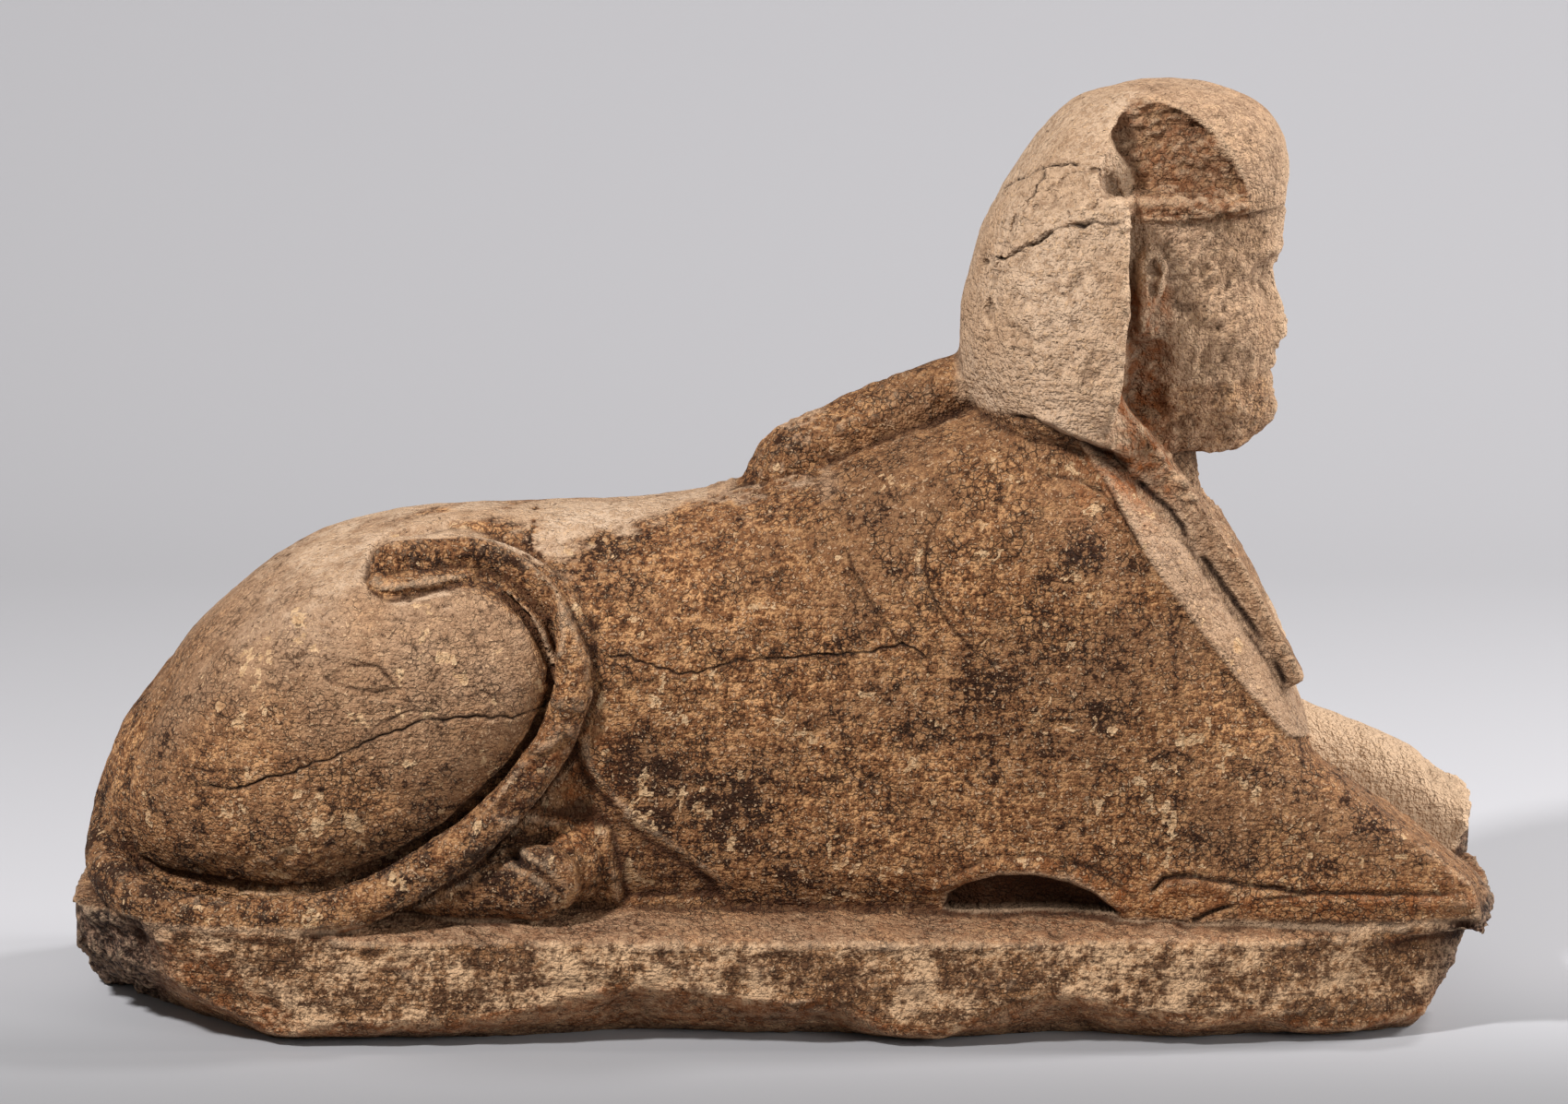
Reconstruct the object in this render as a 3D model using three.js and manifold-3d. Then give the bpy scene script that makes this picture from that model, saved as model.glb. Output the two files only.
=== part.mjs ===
// A recumbent sphinx, carved together with its plinth from one block of limestone: a lion's body lying
// with its forelegs stretched out, and a human head in a striped-cloth headdress, the nemes, whose wings
// end in two lappets on the chest and in a short tail of cloth on the back. The lion's tail comes off the
// rump, lies along the plinth and curls up over the right haunch. It is one solid, in one mesh.
//
// Millimetres. +X is the way the sphinx looks, +Y its left side and +Z up. The origin is in the middle of
// the underside. Forms are lofted from the dimensions below, and are joined and cut as solids. Each limb is
// made on one side, -1 for the right and 1 for the left.
import * as THREE from "three";
import { mergeVertices } from "three/addons/utils/BufferGeometryUtils.js";
import Module from "manifold-3d";

const RIGHT = -1;
const LEFT = 1;

// ---- Driving dimensions -----------------------------------------------------------------------------

const HALF_LENGTH = 598;
const HALF_WIDTH = 200;
const PLINTH_TOP = 102;
const PLINTH_EDGE_DROP = 8; // how far the plinth's worn edge lies below its top

// The trunk: where it starts and ends, the spine's height, and how the flanks swell, all along X.
const TRUNK = { from: -578, to: 436, floor: 70 };
const SPINE = profile([
  [-578, 176], [-564, 226], [-532, 274], [-492, 322], [-452, 358], [-405, 389], [-350, 407],
  [-304, 416], [-241, 421], [-117, 426], [-31, 442], [69, 474], [115, 492], [157, 508],
  [205, 520], [251, 507], [297, 471], [335, 422], [366, 372], [417, 292], [436, 252],
]);
const FLANK = profile([
  [-578, 66], [-564, 88], [-535, 114], [-490, 140], [-440, 158], [-385, 168], [-330, 166],
  [-280, 160], [-235, 152], [-195, 147], [-60, 148], [60, 155], [200, 168], [330, 173], [400, 171], [436, 165],
]);
const WIDEST = profile([[-578, 120], [-480, 190], [-300, 235], [0, 240], [200, 285], [320, 240], [436, 170]]);
// Exponents of the flank's curve above its widest line, squarest at the shoulders, and below it.
const UPPER_FULLNESS = profile([[-578, 2.4], [-60, 2.4], [70, 2.9], [200, 3.2], [300, 3.1], [436, 2.7]]);
const LOWER_FULLNESS = profile([[-578, 4], [-300, 5], [-180, 4], [120, 4], [260, 7], [436, 7]]);

// The smooth border of the mane: how far it is raised on the chest, and its edge, as [x, z].
const MANE = { thick: 5, edge: [[236, 500], [262, 462], [297, 401], [339, 343], [378, 293], [412, 254], [436, 246]] };

// The hollow between thigh and belly.
const GROIN = { centre: [-162, 187, 182], radii: [43, 50, 112], turn: -0.5 };

// The haunch: how far out it swells, its outline on the flank, as [x, z, distance from the midline], and
// how it turns in at the rump. It stands clear in front and below, and runs into the back behind.
const HAUNCH = { centre: [-350, 240], outer: 201, fullness: 2.8 };
const HAUNCH_OUTLINE = [
  [-178, 313, 84], [-187, 345, 84], [-204, 366, 80], [-240, 384, 68], [-300, 396, 48], [-370, 389, 30],
  [-440, 352, 30], [-505, 292, 30], [-553, 220, 40], [-563, 166, 56], [-510, 127, 84], [-419, 114, 84],
  [-325, 139, 84], [-248, 187, 84], [-195, 257, 84],
];
const RUMP_TURN = profile([[-590, 0.66], [-550, 0.85], [-500, 0.94], [-440, 0.985], [-380, 1], [-150, 1]]);

// The tail: its way round the rump and up over the right haunch, and its thickness along that way.
const TAIL_REAR = [
  [-474, 6, 296], [-510, 3, 268], [-543, -3, 226], [-560, -34, 178], [-565, -84, 143], [-552, -128, 124],
  [-524, -158, 114], [-477, -178, 107], [-424, -184, 105], [-376, -184, 110], [-317, -181, 133],
  [-264, -178, 166], [-219, -170, 208],
];
const TAIL_FRONT = [
  [-189, 247], [-173, 289], [-171, 328], [-183, 359], [-208, 383], [-243, 396], [-280, 398], [-314, 393],
];
const TAIL_RADIUS = profile([[0, 20], [0.4, 19.5], [0.66, 17.5], [0.84, 14.5], [0.95, 14.5], [1, 10]]);
const TAIL_TUFT = { at: [-312, 394], radii: [33, 21, 21], turn: 0.1 };
const TAIL_LIFT = profile([[-320, 24], [-280, 18], [-240, 11], [-175, 6]]); // how far it stands off the flank

// The forelegs, along X: how high they stand, and where each is broken off.
const FORELEG = { from: 330, to: 598, inner: 58, outer: 171, floor: 88 };
const FORELEG_TOP = profile([[330, 272], [440, 232], [542, 188], [598, 148]]);

// The head: [height, distance] pairs for its front on the midline and for its half width.
const CHIN = 489;
const CROWN = 758;
const HEAD_HEIGHT = CROWN - CHIN;
const HEAD = { middle: 296, back: 210, fullness: 2.3 };
const atHead = (share) => CHIN + share * HEAD_HEIGHT; // a height as a share of the head's, up from the chin
const FACE_FRONT = profile([
  [atHead(-0.1), 372], [atHead(-0.03), 388], [atHead(0.0), 398], [atHead(0.07), 405], [atHead(0.13), 402],
  [atHead(0.27), 408], [atHead(0.5), 404], [atHead(0.56), 412], [atHead(0.75), 411], [atHead(1), 380],
]);
const HEAD_WIDTH = profile([
  [atHead(-0.1), 56], [atHead(0), 62], [atHead(0.12), 72], [atHead(0.35), 84], [atHead(0.6), 88], [atHead(1), 76],
]);

// The nemes: the bag behind the ears and its two wings, by height, and the cap over the skull.
const NEMES = { top: 762, bottom: 486, fullness: 2.35 };
const NEMES_FRONT = profile([[486, 262], [534, 273], [600, 279], [762, 281]]);
const NEMES_BACK = profile([
  [486, 178], [510, 158], [549, 147], [580, 146], [621, 154], [668, 169], [706, 192], [745, 223], [762, 246],
]);
const NEMES_WIDTH = profile([
  [486, 118], [497, 142], [515, 158], [545, 162], [600, 155], [650, 142], [700, 123], [730, 102], [752, 78], [762, 62],
]);
const CAP = { bottom: 676, top: 778 };
const CAP_FRONT = profile([[676, 418], [710, 421], [745, 409], [764, 385], [774, 354], [778, 322]]);
const CAP_BACK = profile([[676, 205], [706, 200], [745, 222], [764, 246], [774, 276], [778, 300]]);
const CAP_WIDTH = profile([[676, 102], [710, 102], [745, 88], [764, 68], [774, 44], [778, 18]]);

// The lappets: the middle of their thickness from the wing down the chest, as [x, z].
const LAPPET = { path: [[256, 528], [290, 485], [328, 436], [359, 394], [414, 289]], thick: 29, inner: 46, outer: 124 };

// ---- Geometry helpers -------------------------------------------------------------------------------

const wasm = await Module();
wasm.setup();

// A smooth function through [x, value] pairs that never overshoots them.
function profile(points) {
  const secant = (i) => (points[i + 1][1] - points[i][1]) / (points[i + 1][0] - points[i][0]);
  const last = points.length - 1;
  const slopes = points.map((_, i) => {
    if (i === 0) return secant(0);
    if (i === last) return secant(last - 1);
    const [before, after] = [secant(i - 1), secant(i)];
    return before * after <= 0 ? 0 : (2 * before * after) / (before + after);
  });
  return (x) => {
    const clamped = THREE.MathUtils.clamp(x, points[0][0], points[last][0]);
    const i = Math.max(0, Math.min(last - 1, points.findIndex((p) => p[0] >= clamped) - 1));
    const width = points[i + 1][0] - points[i][0];
    const t = (clamped - points[i][0]) / width;
    const rise = (1 - t) ** 2 * (width * slopes[i] * t + points[i][1] * (1 + 2 * t));
    return rise + t ** 2 * (points[i + 1][1] * (3 - 2 * t) - width * slopes[i + 1] * (1 - t));
  };
}

// Evenly spaced numbers from a to b, both included.
const steps = (a, b, count) => Array.from({ length: count + 1 }, (_, i) => a + ((b - a) * i) / count);

const signedPower = (value, exponent) => Math.sign(value) * Math.abs(value) ** exponent;

const bump = (distance, reach) => Math.exp(-((distance / reach) ** 2));

// A repeatable unevenness between -1 and 1, for broken stone.
function rough(x, y, z) {
  const across = Math.sin(0.11 * x + 2.1 * Math.sin(0.07 * z));
  const along = Math.sin(0.13 * y + 1.7 * Math.sin(0.05 * x));
  return (across + along + Math.sin(0.12 * z + 1.9 * Math.sin(0.06 * y))) / 3;
}

// A closed skin over rings that have the same number of points, with a flat fan over each end.
function loft(rings) {
  const count = rings[0].length;
  const points = rings.flat();
  const faces = [];
  for (let ring = 0; ring + 1 < rings.length; ring++) {
    for (let i = 0; i < count; i++) {
      const a = ring * count + i;
      const b = ring * count + ((i + 1) % count);
      faces.push(a, b, b + count, a, b + count, a + count);
    }
  }
  for (const [ring, turn] of [[0, 1], [rings.length - 1, -1]]) {
    const middle = new THREE.Vector3();
    rings[ring].forEach((p) => middle.addScaledVector(p, 1 / count));
    points.push(middle);
    for (let i = 0; i < count; i++) {
      const edge = [ring * count + i, ring * count + ((i + 1) % count)];
      faces.push(points.length - 1, ...(turn > 0 ? edge.reverse() : edge));
    }
  }
  return new THREE.BufferGeometry().setFromPoints(points).setIndex(faces);
}

// A tube of changing radius along a smooth curve through points; flatten presses it along Y.
function tube(points, radiusAt, lengths, sides, flatten = 1) {
  const curve = new THREE.CatmullRomCurve3(points.map((p) => new THREE.Vector3(...p)));
  const frames = curve.computeFrenetFrames(lengths);
  const rings = steps(0, 1, lengths).map((t, i) => {
    const centre = curve.getPointAt(t);
    return steps(0, 2 * Math.PI, sides).slice(0, -1).map((angle) => {
      const offset = frames.normals[i].clone().multiplyScalar(Math.cos(angle));
      offset.addScaledVector(frames.binormals[i], Math.sin(angle)).multiplyScalar(radiusAt(t));
      offset.y *= flatten;
      return offset.add(centre);
    });
  });
  return loft(rings);
}

// A geometry as a closed solid that faces out, whichever side it was made for.
function solid(geometry) {
  const bare = new THREE.BufferGeometry();
  const loose = geometry.index ? geometry.toNonIndexed() : geometry;
  bare.setAttribute("position", loose.getAttribute("position"));
  const merged = mergeVertices(bare, 1e-3);
  const position = merged.getAttribute("position");
  const corner = (i) => new THREE.Vector3().fromBufferAttribute(position, i);
  const faces = [];
  let volume = 0;
  for (let i = 0; i < merged.index.count; i += 3) {
    const [a, b, c] = merged.index.array.slice(i, i + 3);
    if (a === b || b === c || c === a) continue;
    faces.push([a, b, c]);
    volume += corner(a).dot(corner(b).cross(corner(c)));
  }
  const triVerts = new Uint32Array(faces.flatMap((f) => (volume < 0 ? f.reverse() : f)));
  return new wasm.Manifold(new wasm.Mesh({ numProp: 3, vertProperties: position.array, triVerts }));
}

const join = (...solids) => solids.reduce((whole, next) => whole.add(next));

function ellipsoid([x, y, z], [rx, ry, rz], turn = 0, around = 14, up = 9) {
  const ball = new THREE.SphereGeometry(1, around, up);
  return solid(ball.scale(rx, ry, rz).rotateY(turn).translate(x, y, z));
}

// A block to cut away with. Its first face is uneven broken stone that passes through a point and whose
// outward side, the side cut away, is given by a direction.
function breakage(point, outward, size, unevenness = 7) {
  const block = new THREE.BoxGeometry(size, size, size, 6, 6, 1).translate(0, 0, size / 2);
  const position = block.getAttribute("position");
  for (let i = 0; i < position.count; i++) {
    if (position.getZ(i) > 1) continue;
    position.setZ(i, unevenness * rough(position.getX(i) + point[0], position.getY(i), point[1]));
  }
  const turn = new THREE.Quaternion().setFromUnitVectors(
    new THREE.Vector3(0, 0, 1),
    new THREE.Vector3(...outward).normalize(),
  );
  return solid(block.applyQuaternion(turn).translate(...point));
}

// ---- The lion ---------------------------------------------------------------------------------------

// Half the trunk's width at a place on its upper flank.
function flankAt(x, z) {
  const rise = THREE.MathUtils.clamp((z - WIDEST(x)) / (SPINE(x) - WIDEST(x)), 0, 1);
  return FLANK(x) * (1 - rise ** UPPER_FULLNESS(x)) ** (1 / UPPER_FULLNESS(x));
}

function trunk(extra = 0) {
  const stations = steps(0, 1, 29).map((t) => THREE.MathUtils.lerp(TRUNK.from, TRUNK.to, t ** 1.25));
  const rings = stations.map((x) => {
    const [arch, tuck] = [UPPER_FULLNESS(x), LOWER_FULLNESS(x)];
    const upper = steps(Math.PI / 2, 0, 8).map((angle) => [
      (FLANK(x) + extra) * Math.cos(angle) ** (2 / arch),
      WIDEST(x) + (SPINE(x) + extra - WIDEST(x)) * Math.sin(angle) ** (2 / arch),
    ]);
    const lower = steps(0, 1.2, 3).slice(1).map((angle) => [
      (FLANK(x) + extra) * Math.cos(angle) ** (2 / tuck),
      WIDEST(x) - (WIDEST(x) - TRUNK.floor) * Math.sin(angle) ** (2 / tuck),
    ]);
    const half = [...upper, ...lower];
    const right = half.map(([y, z]) => new THREE.Vector3(x, RIGHT * y, z));
    const left = half.slice(1).reverse().map(([y, z]) => new THREE.Vector3(x, LEFT * y, z));
    return [...right, ...left];
  });
  return solid(loft(rings));
}

function haunch(side) {
  const corners = HAUNCH_OUTLINE.map(([x, z, inner]) => new THREE.Vector3(x, inner, z));
  const outline = new THREE.CatmullRomCurve3(corners, true).getSpacedPoints(26).slice(0, -1);
  const [cx, cz] = HAUNCH.centre;
  const rings = steps(0, 1, 8).map((t) => {
    const swell = Math.sin((t * Math.PI) / 2);
    const share = Math.max(0.03, (1 - swell ** HAUNCH.fullness) ** (1 / HAUNCH.fullness));
    return outline.map((rim) => {
      const x = cx + (rim.x - cx) * share;
      const depth = rim.y + (HAUNCH.outer - rim.y) * swell;
      return new THREE.Vector3(x, side * depth * RUMP_TURN(x), cz + (rim.z - cz) * share);
    });
  });
  return solid(loft(rings));
}

function tail() {
  const beside = ([x, z]) => [x, RIGHT * (flankAt(x, z) + TAIL_LIFT(x)), z];
  const cord = solid(tube([...TAIL_REAR, ...TAIL_FRONT.map(beside)], TAIL_RADIUS, 42, 8));
  return cord.add(ellipsoid(beside(TAIL_TUFT.at), TAIL_TUFT.radii, TAIL_TUFT.turn, 10, 7));
}

// The mane's border: a thin layer over the chest, in front of a line that runs down each shoulder.
function mane() {
  const corners = [...MANE.edge, [480, 243], [480, 560], [236, 560]];
  const outline = new THREE.Shape(corners.map(([x, z]) => new THREE.Vector2(x, z)));
  const prism = new THREE.ExtrudeGeometry(outline, { depth: 2 * HALF_WIDTH, bevelEnabled: false });
  return trunk(MANE.thick).intersect(solid(prism.rotateX(Math.PI / 2).translate(0, HALF_WIDTH, 0)));
}

function groin(side) {
  const [x, y, z] = GROIN.centre;
  return ellipsoid([x, side * y, z], GROIN.radii, GROIN.turn, 12, 9);
}

function hindFoot(side) {
  const foot = ellipsoid([-246, side * 142, 130], [88, 38, 36], 0, 10, 7);
  const toes = [
    [[-203, 167, 134], [38, 23, 33]],
    [[-178, 142, 141], [32, 19, 32]],
    [[-172, 114, 138], [30, 19, 30]],
  ].map(([[x, y, z], radii]) => ellipsoid([x, side * y, z], radii, -0.15, 9, 6));
  return join(foot, ...toes);
}

function foreleg(side) {
  const middle = (FORELEG.inner + FORELEG.outer) / 2;
  const half = (FORELEG.outer - FORELEG.inner) / 2;
  const rings = steps(FORELEG.from, FORELEG.to, 9).map((x) => {
    const height = FORELEG_TOP(x) - FORELEG.floor;
    return steps(-0.35, Math.PI + 0.35, 13).map((angle) => {
      const y = middle + half * signedPower(Math.cos(angle), 2 / 3.6);
      const z = FORELEG.floor + height * Math.max(0, signedPower(Math.sin(angle), 2 / 3.6));
      return new THREE.Vector3(x, side * y, z);
    });
  });
  return solid(loft(rings));
}

// The fold of skin that arches between belly and elbow: a hollow under a rounded rim.
function foldHollow(side) {
  return ellipsoid([208, side * 186, 100], [82, 48, 42], 0, 13, 8);
}

function foldRim(side) {
  const way = [[118, 120], [155, 142], [197, 149], [243, 139], [273, 120], [296, 100]];
  const points = way.map(([x, z]) => [x, side * (FLANK(x) - 8), z]);
  return solid(tube(points, (t) => 10 * Math.sin(Math.PI * t) ** 0.4 + 1, 10, 6));
}

// The two sinews along the foot of a foreleg.
function sinews(side) {
  const upper = [[308, 131], [330, 133], [379, 129], [432, 126]].map(([x, z]) => [x, side * 166, z]);
  const lower = [[330, 106], [379, 118], [455, 120], [562, 118]].map(([x, z]) => [x, side * 166, z]);
  const fading = profile([[0, 4], [0.12, 11], [0.3, 11], [0.7, 7], [1, 4]]);
  const steady = profile([[0, 4], [0.25, 9], [0.5, 11], [1, 11]]);
  return join(solid(tube(upper, fading, 8, 6)), solid(tube(lower, steady, 8, 6)));
}

// ---- The head ---------------------------------------------------------------------------------------

// How far the features stand out of the plain head, at a distance from the midline and a height.
function features(across, height) {
  const z = (height - CHIN) / HEAD_HEIGHT;
  const side = Math.abs(across);
  const brow = 6 * bump(z - 0.555, 0.035) * bump(side - 34, 24);
  const socket = -13 * bump(z - 0.49, 0.055) * bump(side - 34, 19);
  const eye = 8 * bump(z - 0.49, 0.026) * bump(side - 35, 14);
  const cheek = 5 * bump(z - 0.34, 0.1) * bump(side - 48, 20);
  const wing = THREE.MathUtils.smoothstep(0.52 - z, 0, 0.26);
  const nose = (4 + 7 * wing) * bump(across, 9 + 8 * wing) * (1 - THREE.MathUtils.smoothstep(0.27 - z, 0, 0.03));
  const lips = (7 * bump(z - 0.2, 0.02) + 6 * bump(z - 0.155, 0.018)) * bump(across, 25);
  const chin = 9 * bump(z - 0.05, 0.05) * bump(across, 26);
  return brow + socket + eye + cheek + nose + lips + chin;
}

function head() {
  const front = steps(-1.75, 1.75, 18);
  const back = steps(1.75, 2 * Math.PI - 1.75, 3).slice(1, -1);
  const rings = steps(atHead(-0.06), atHead(0.74), 20).map((z) =>
    [...front, ...back].map((angle) => {
      const reach = Math.cos(angle) > 0 ? FACE_FRONT(z) - HEAD.middle : HEAD.middle - HEAD.back;
      const x = HEAD.middle + reach * signedPower(Math.cos(angle), 2 / HEAD.fullness);
      const y = HEAD_WIDTH(z) * signedPower(Math.sin(angle), 2 / HEAD.fullness);
      return new THREE.Vector3(x + features(y, z) * Math.max(0, Math.cos(angle)), y, z);
    }),
  );
  return solid(loft(rings));
}

function neck() {
  const column = new THREE.CylinderGeometry(70, 78, 170, 20, 1).rotateX(Math.PI / 2).scale(0.95, 1, 1);
  return solid(column.rotateY(-0.1).translate(274, 0, 458));
}

function ear(side) {
  const shell = ellipsoid([298, side * 86, atHead(0.42)], [17, 14, 36], 0.12, 10, 7);
  const hollow = ellipsoid([306, side * 100, atHead(0.42)], [9, 9, 24], 0.12, 8, 6);
  return shell.subtract(hollow);
}

function nemesBag() {
  const rings = steps(0, 1, 13).map((t) => NEMES.bottom + (NEMES.top - NEMES.bottom) * t ** 1.15).map((z) =>
    steps(-Math.PI / 2, Math.PI / 2, 14).map((angle) => {
      const depth = NEMES_FRONT(z) - NEMES_BACK(z);
      const x = NEMES_FRONT(z) - depth * Math.cos(angle) ** (2 / NEMES.fullness);
      return new THREE.Vector3(x, NEMES_WIDTH(z) * signedPower(Math.sin(angle), 2 / NEMES.fullness), z);
    }),
  );
  return solid(loft(rings));
}

function nemesCap() {
  const rings = steps(0, 1, 9).map((t) => {
    const z = CAP.bottom + (CAP.top - CAP.bottom) * Math.sin((t * Math.PI) / 2);
    const middle = (CAP_FRONT(z) + CAP_BACK(z)) / 2;
    const half = (CAP_FRONT(z) - CAP_BACK(z)) / 2;
    return steps(0, 2 * Math.PI, 22).slice(0, -1).map((angle) => {
      const x = middle + half * signedPower(Math.cos(angle), 2 / 2.3);
      return new THREE.Vector3(x, CAP_WIDTH(z) * signedPower(Math.sin(angle), 2 / 2.3), z);
    });
  });
  return solid(loft(rings));
}

// A flat band of cloth whose middle follows [x, z] points, with its corners taken off.
function band(path, thick, inner, outer) {
  const rings = path.map(([x, z], i) => {
    const [from, to] = [path[Math.max(0, i - 1)], path[Math.min(path.length - 1, i + 1)]];
    const along = new THREE.Vector2(to[0] - from[0], to[1] - from[1]).normalize();
    const half = thick / 2;
    const corners = [[inner, -1], [outer, -1], [outer, 0.6], [outer - 6, 1], [inner + 6, 1], [inner, 0.6]];
    return corners.map(([y, lift]) => new THREE.Vector3(x - along.y * half * lift, y, z + along.x * half * lift));
  });
  return solid(loft(rings));
}

function lappet(side) {
  return band(LAPPET.path, LAPPET.thick, side * LAPPET.inner, side * LAPPET.outer);
}

// The cloth's tail on the back, broken off in a slope at its rear end.
function queue() {
  const way = [[200, 0, 530], [147, 0, 522], [116, 0, 509], [39, 0, 478], [0, 0, 457], [-31, 0, 432]];
  const thickness = profile([[0, 27], [0.75, 27], [0.88, 24], [1, 10]]);
  return solid(tube(way, thickness, 8, 12, 1.6));
}

// ---- The plinth -------------------------------------------------------------------------------------

const PLINTH_RIGHT = profile([[-598, 150], [-555, 184], [-460, 199], [330, 199], [450, 180], [549, 150], [598, 96]]);
const PLINTH_LEFT = profile([[-598, 130], [-540, 182], [-450, 200], [420, 200], [545, 178], [598, 120]]);
// The ragged line along the sides below which the underside is broken back.
const BREAK_LINE = profile([
  [-409, 12], [-310, 14], [-219, 25], [-159, 41], [-113, 52], [-83, 41], [0, 33], [38, 37], [72, 17], [114, 6],
  [151, 13], [189, 33], [227, 41], [280, 31], [333, 17], [378, 25], [447, 9], [515, 17],
]);

function plinth() {
  const rings = steps(-HALF_LENGTH, HALF_LENGTH, 28).map((x) => {
    const side = (width, breakAt, swing) => [
      [width - 26 - 0.9 * breakAt, 0],
      [width - 5, breakAt],
      [width, breakAt + 9],
      [width - 1, PLINTH_TOP - PLINTH_EDGE_DROP - 4],
      [width - 10, PLINTH_TOP - PLINTH_EDGE_DROP],
      [width - 56, PLINTH_TOP],
    ].map(([y, z]) => new THREE.Vector3(x, swing * y, z));
    return [
      ...side(PLINTH_RIGHT(x), BREAK_LINE(x), RIGHT),
      ...side(PLINTH_LEFT(x), BREAK_LINE(-0.8 * x), LEFT).reverse(),
    ];
  });
  const whole = solid(loft(rings));
  const breaks = [
    breakage([-468, -195, 87], [-0.28, -0.93, -0.24], 420, 4),
    breakage([-592, -95, 104], [-0.74, -0.6, -0.28], 420, 5),
    breakage([-570, -100, 58], [-0.48, -0.38, -0.79], 620, 7),
    breakage([-520, 190, 60], [-0.6, 0.5, -0.62], 560, 8),
    breakage([550, -152, 84], [0.757, -0.611, -0.26], 420, 6),
    breakage([570, 172, 70], [0.8, 0.52, -0.3], 420, 7),
    breakage([575, 0, 60], [0.85, -0.1, -0.52], 620, 7),
  ];
  return breaks.reduce((left, cut) => left.subtract(cut), whole);
}

// ---- The whole, and its breaks ----------------------------------------------------------------------

function sphinx() {
  const sides = [RIGHT, LEFT];
  const hollows = join(...sides.flatMap((side) => [foldHollow(side), groin(side)]));
  const lion = join(trunk().subtract(hollows), ...sides.map(haunch));
  const forelegs = [
    foreleg(RIGHT)
      .subtract(breakage([481, -115, 198], [0.613, 0, 0.79], 420, 3))
      .subtract(breakage([584, -115, 112], [0.9, -0.15, 0.4], 300, 5)),
    foreleg(LEFT).subtract(breakage([594, 115, 130], [0.97, -0.2, -0.12], 300, 5)),
  ];
  const limbs = sides.flatMap((side) => [hindFoot(side), foldRim(side), sinews(side)]);
  const cloth = [nemesBag(), nemesCap(), queue(), ...sides.flatMap((side) => [ear(side), lappet(side)])];
  const scoop = ellipsoid([316, -118, 712], [58, 52, 60], -0.3, 16, 10);
  const temple = scoop.subtract(breakage([316, -118, 691], [0, 0, -1], 200, 0));
  const bust = join(head(), neck(), ...cloth).subtract(temple);
  return join(lion, tail(), mane(), ...limbs, ...forelegs, bust, plinth());
}

const carved = sphinx().getMesh();
const geometry = new THREE.BufferGeometry();
geometry.setAttribute("position", new THREE.BufferAttribute(carved.vertProperties, 3));
geometry.setIndex(new THREE.BufferAttribute(carved.triVerts, 1));
geometry.computeVertexNormals();

const limestone = new THREE.MeshStandardMaterial({ color: 0x9c7a55, roughness: 0.92, metalness: 0 });
const statue = new THREE.Mesh(geometry, limestone);
statue.name = "sphinx";

const group = new THREE.Group();
group.add(statue);

export default group;
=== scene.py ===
"""Sphinx statue: the worn, cracked and stained limestone of one carved block.

The carved solid is rubbed smooth, split by cracks, chipped, broken and weathered in mesh code,
cut into six pieces that lie against each other without a gap, and given one limestone finish.
"""

import math

import bmesh
import bpy
import numpy as np
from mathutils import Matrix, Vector


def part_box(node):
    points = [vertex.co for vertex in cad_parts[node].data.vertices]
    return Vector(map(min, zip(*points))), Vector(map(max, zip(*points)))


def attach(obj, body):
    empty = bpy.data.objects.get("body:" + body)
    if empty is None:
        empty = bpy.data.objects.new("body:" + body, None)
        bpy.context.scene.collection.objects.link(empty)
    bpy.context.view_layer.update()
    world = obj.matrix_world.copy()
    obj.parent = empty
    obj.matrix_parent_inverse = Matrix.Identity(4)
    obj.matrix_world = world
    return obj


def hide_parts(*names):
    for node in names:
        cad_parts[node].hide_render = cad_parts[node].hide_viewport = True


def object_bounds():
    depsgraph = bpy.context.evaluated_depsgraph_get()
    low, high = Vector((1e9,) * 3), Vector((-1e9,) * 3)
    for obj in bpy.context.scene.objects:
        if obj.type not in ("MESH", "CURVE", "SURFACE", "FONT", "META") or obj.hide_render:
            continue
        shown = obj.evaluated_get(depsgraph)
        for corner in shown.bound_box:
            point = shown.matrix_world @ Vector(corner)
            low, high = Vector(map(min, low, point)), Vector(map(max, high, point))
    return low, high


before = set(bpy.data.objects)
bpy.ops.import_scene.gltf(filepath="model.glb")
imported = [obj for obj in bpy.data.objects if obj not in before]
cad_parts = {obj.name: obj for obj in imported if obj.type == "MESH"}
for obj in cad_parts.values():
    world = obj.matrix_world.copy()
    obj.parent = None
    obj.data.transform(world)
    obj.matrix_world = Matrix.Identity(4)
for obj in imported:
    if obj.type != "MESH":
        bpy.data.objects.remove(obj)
cad_low, cad_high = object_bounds()
block_low, block_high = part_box("sphinx")
LENGTH = 1196  # of the whole block, in millimetres
MM = (block_high.x - block_low.x) / LENGTH  # one millimetre on the statue, in metres

# Sizes are in millimetres on the statue: X towards its face, Y towards its left, Z up.
FACET = 2.8  # width of a facet of the carved surface
PLINTH_TOP = 104
HEAD_FOOT = 470
BROW_BAND = 676  # height of the lower edge of the headdress over the brow
CHIN = 489
HEAD_HEIGHT = 269  # from the chin to the crown
CREASE = 0.13  # the sharpest bend, in 1/mm, that is still rubbed smooth
RIGHT_SIDE = -60  # carving of the right side lies beyond this Y

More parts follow.
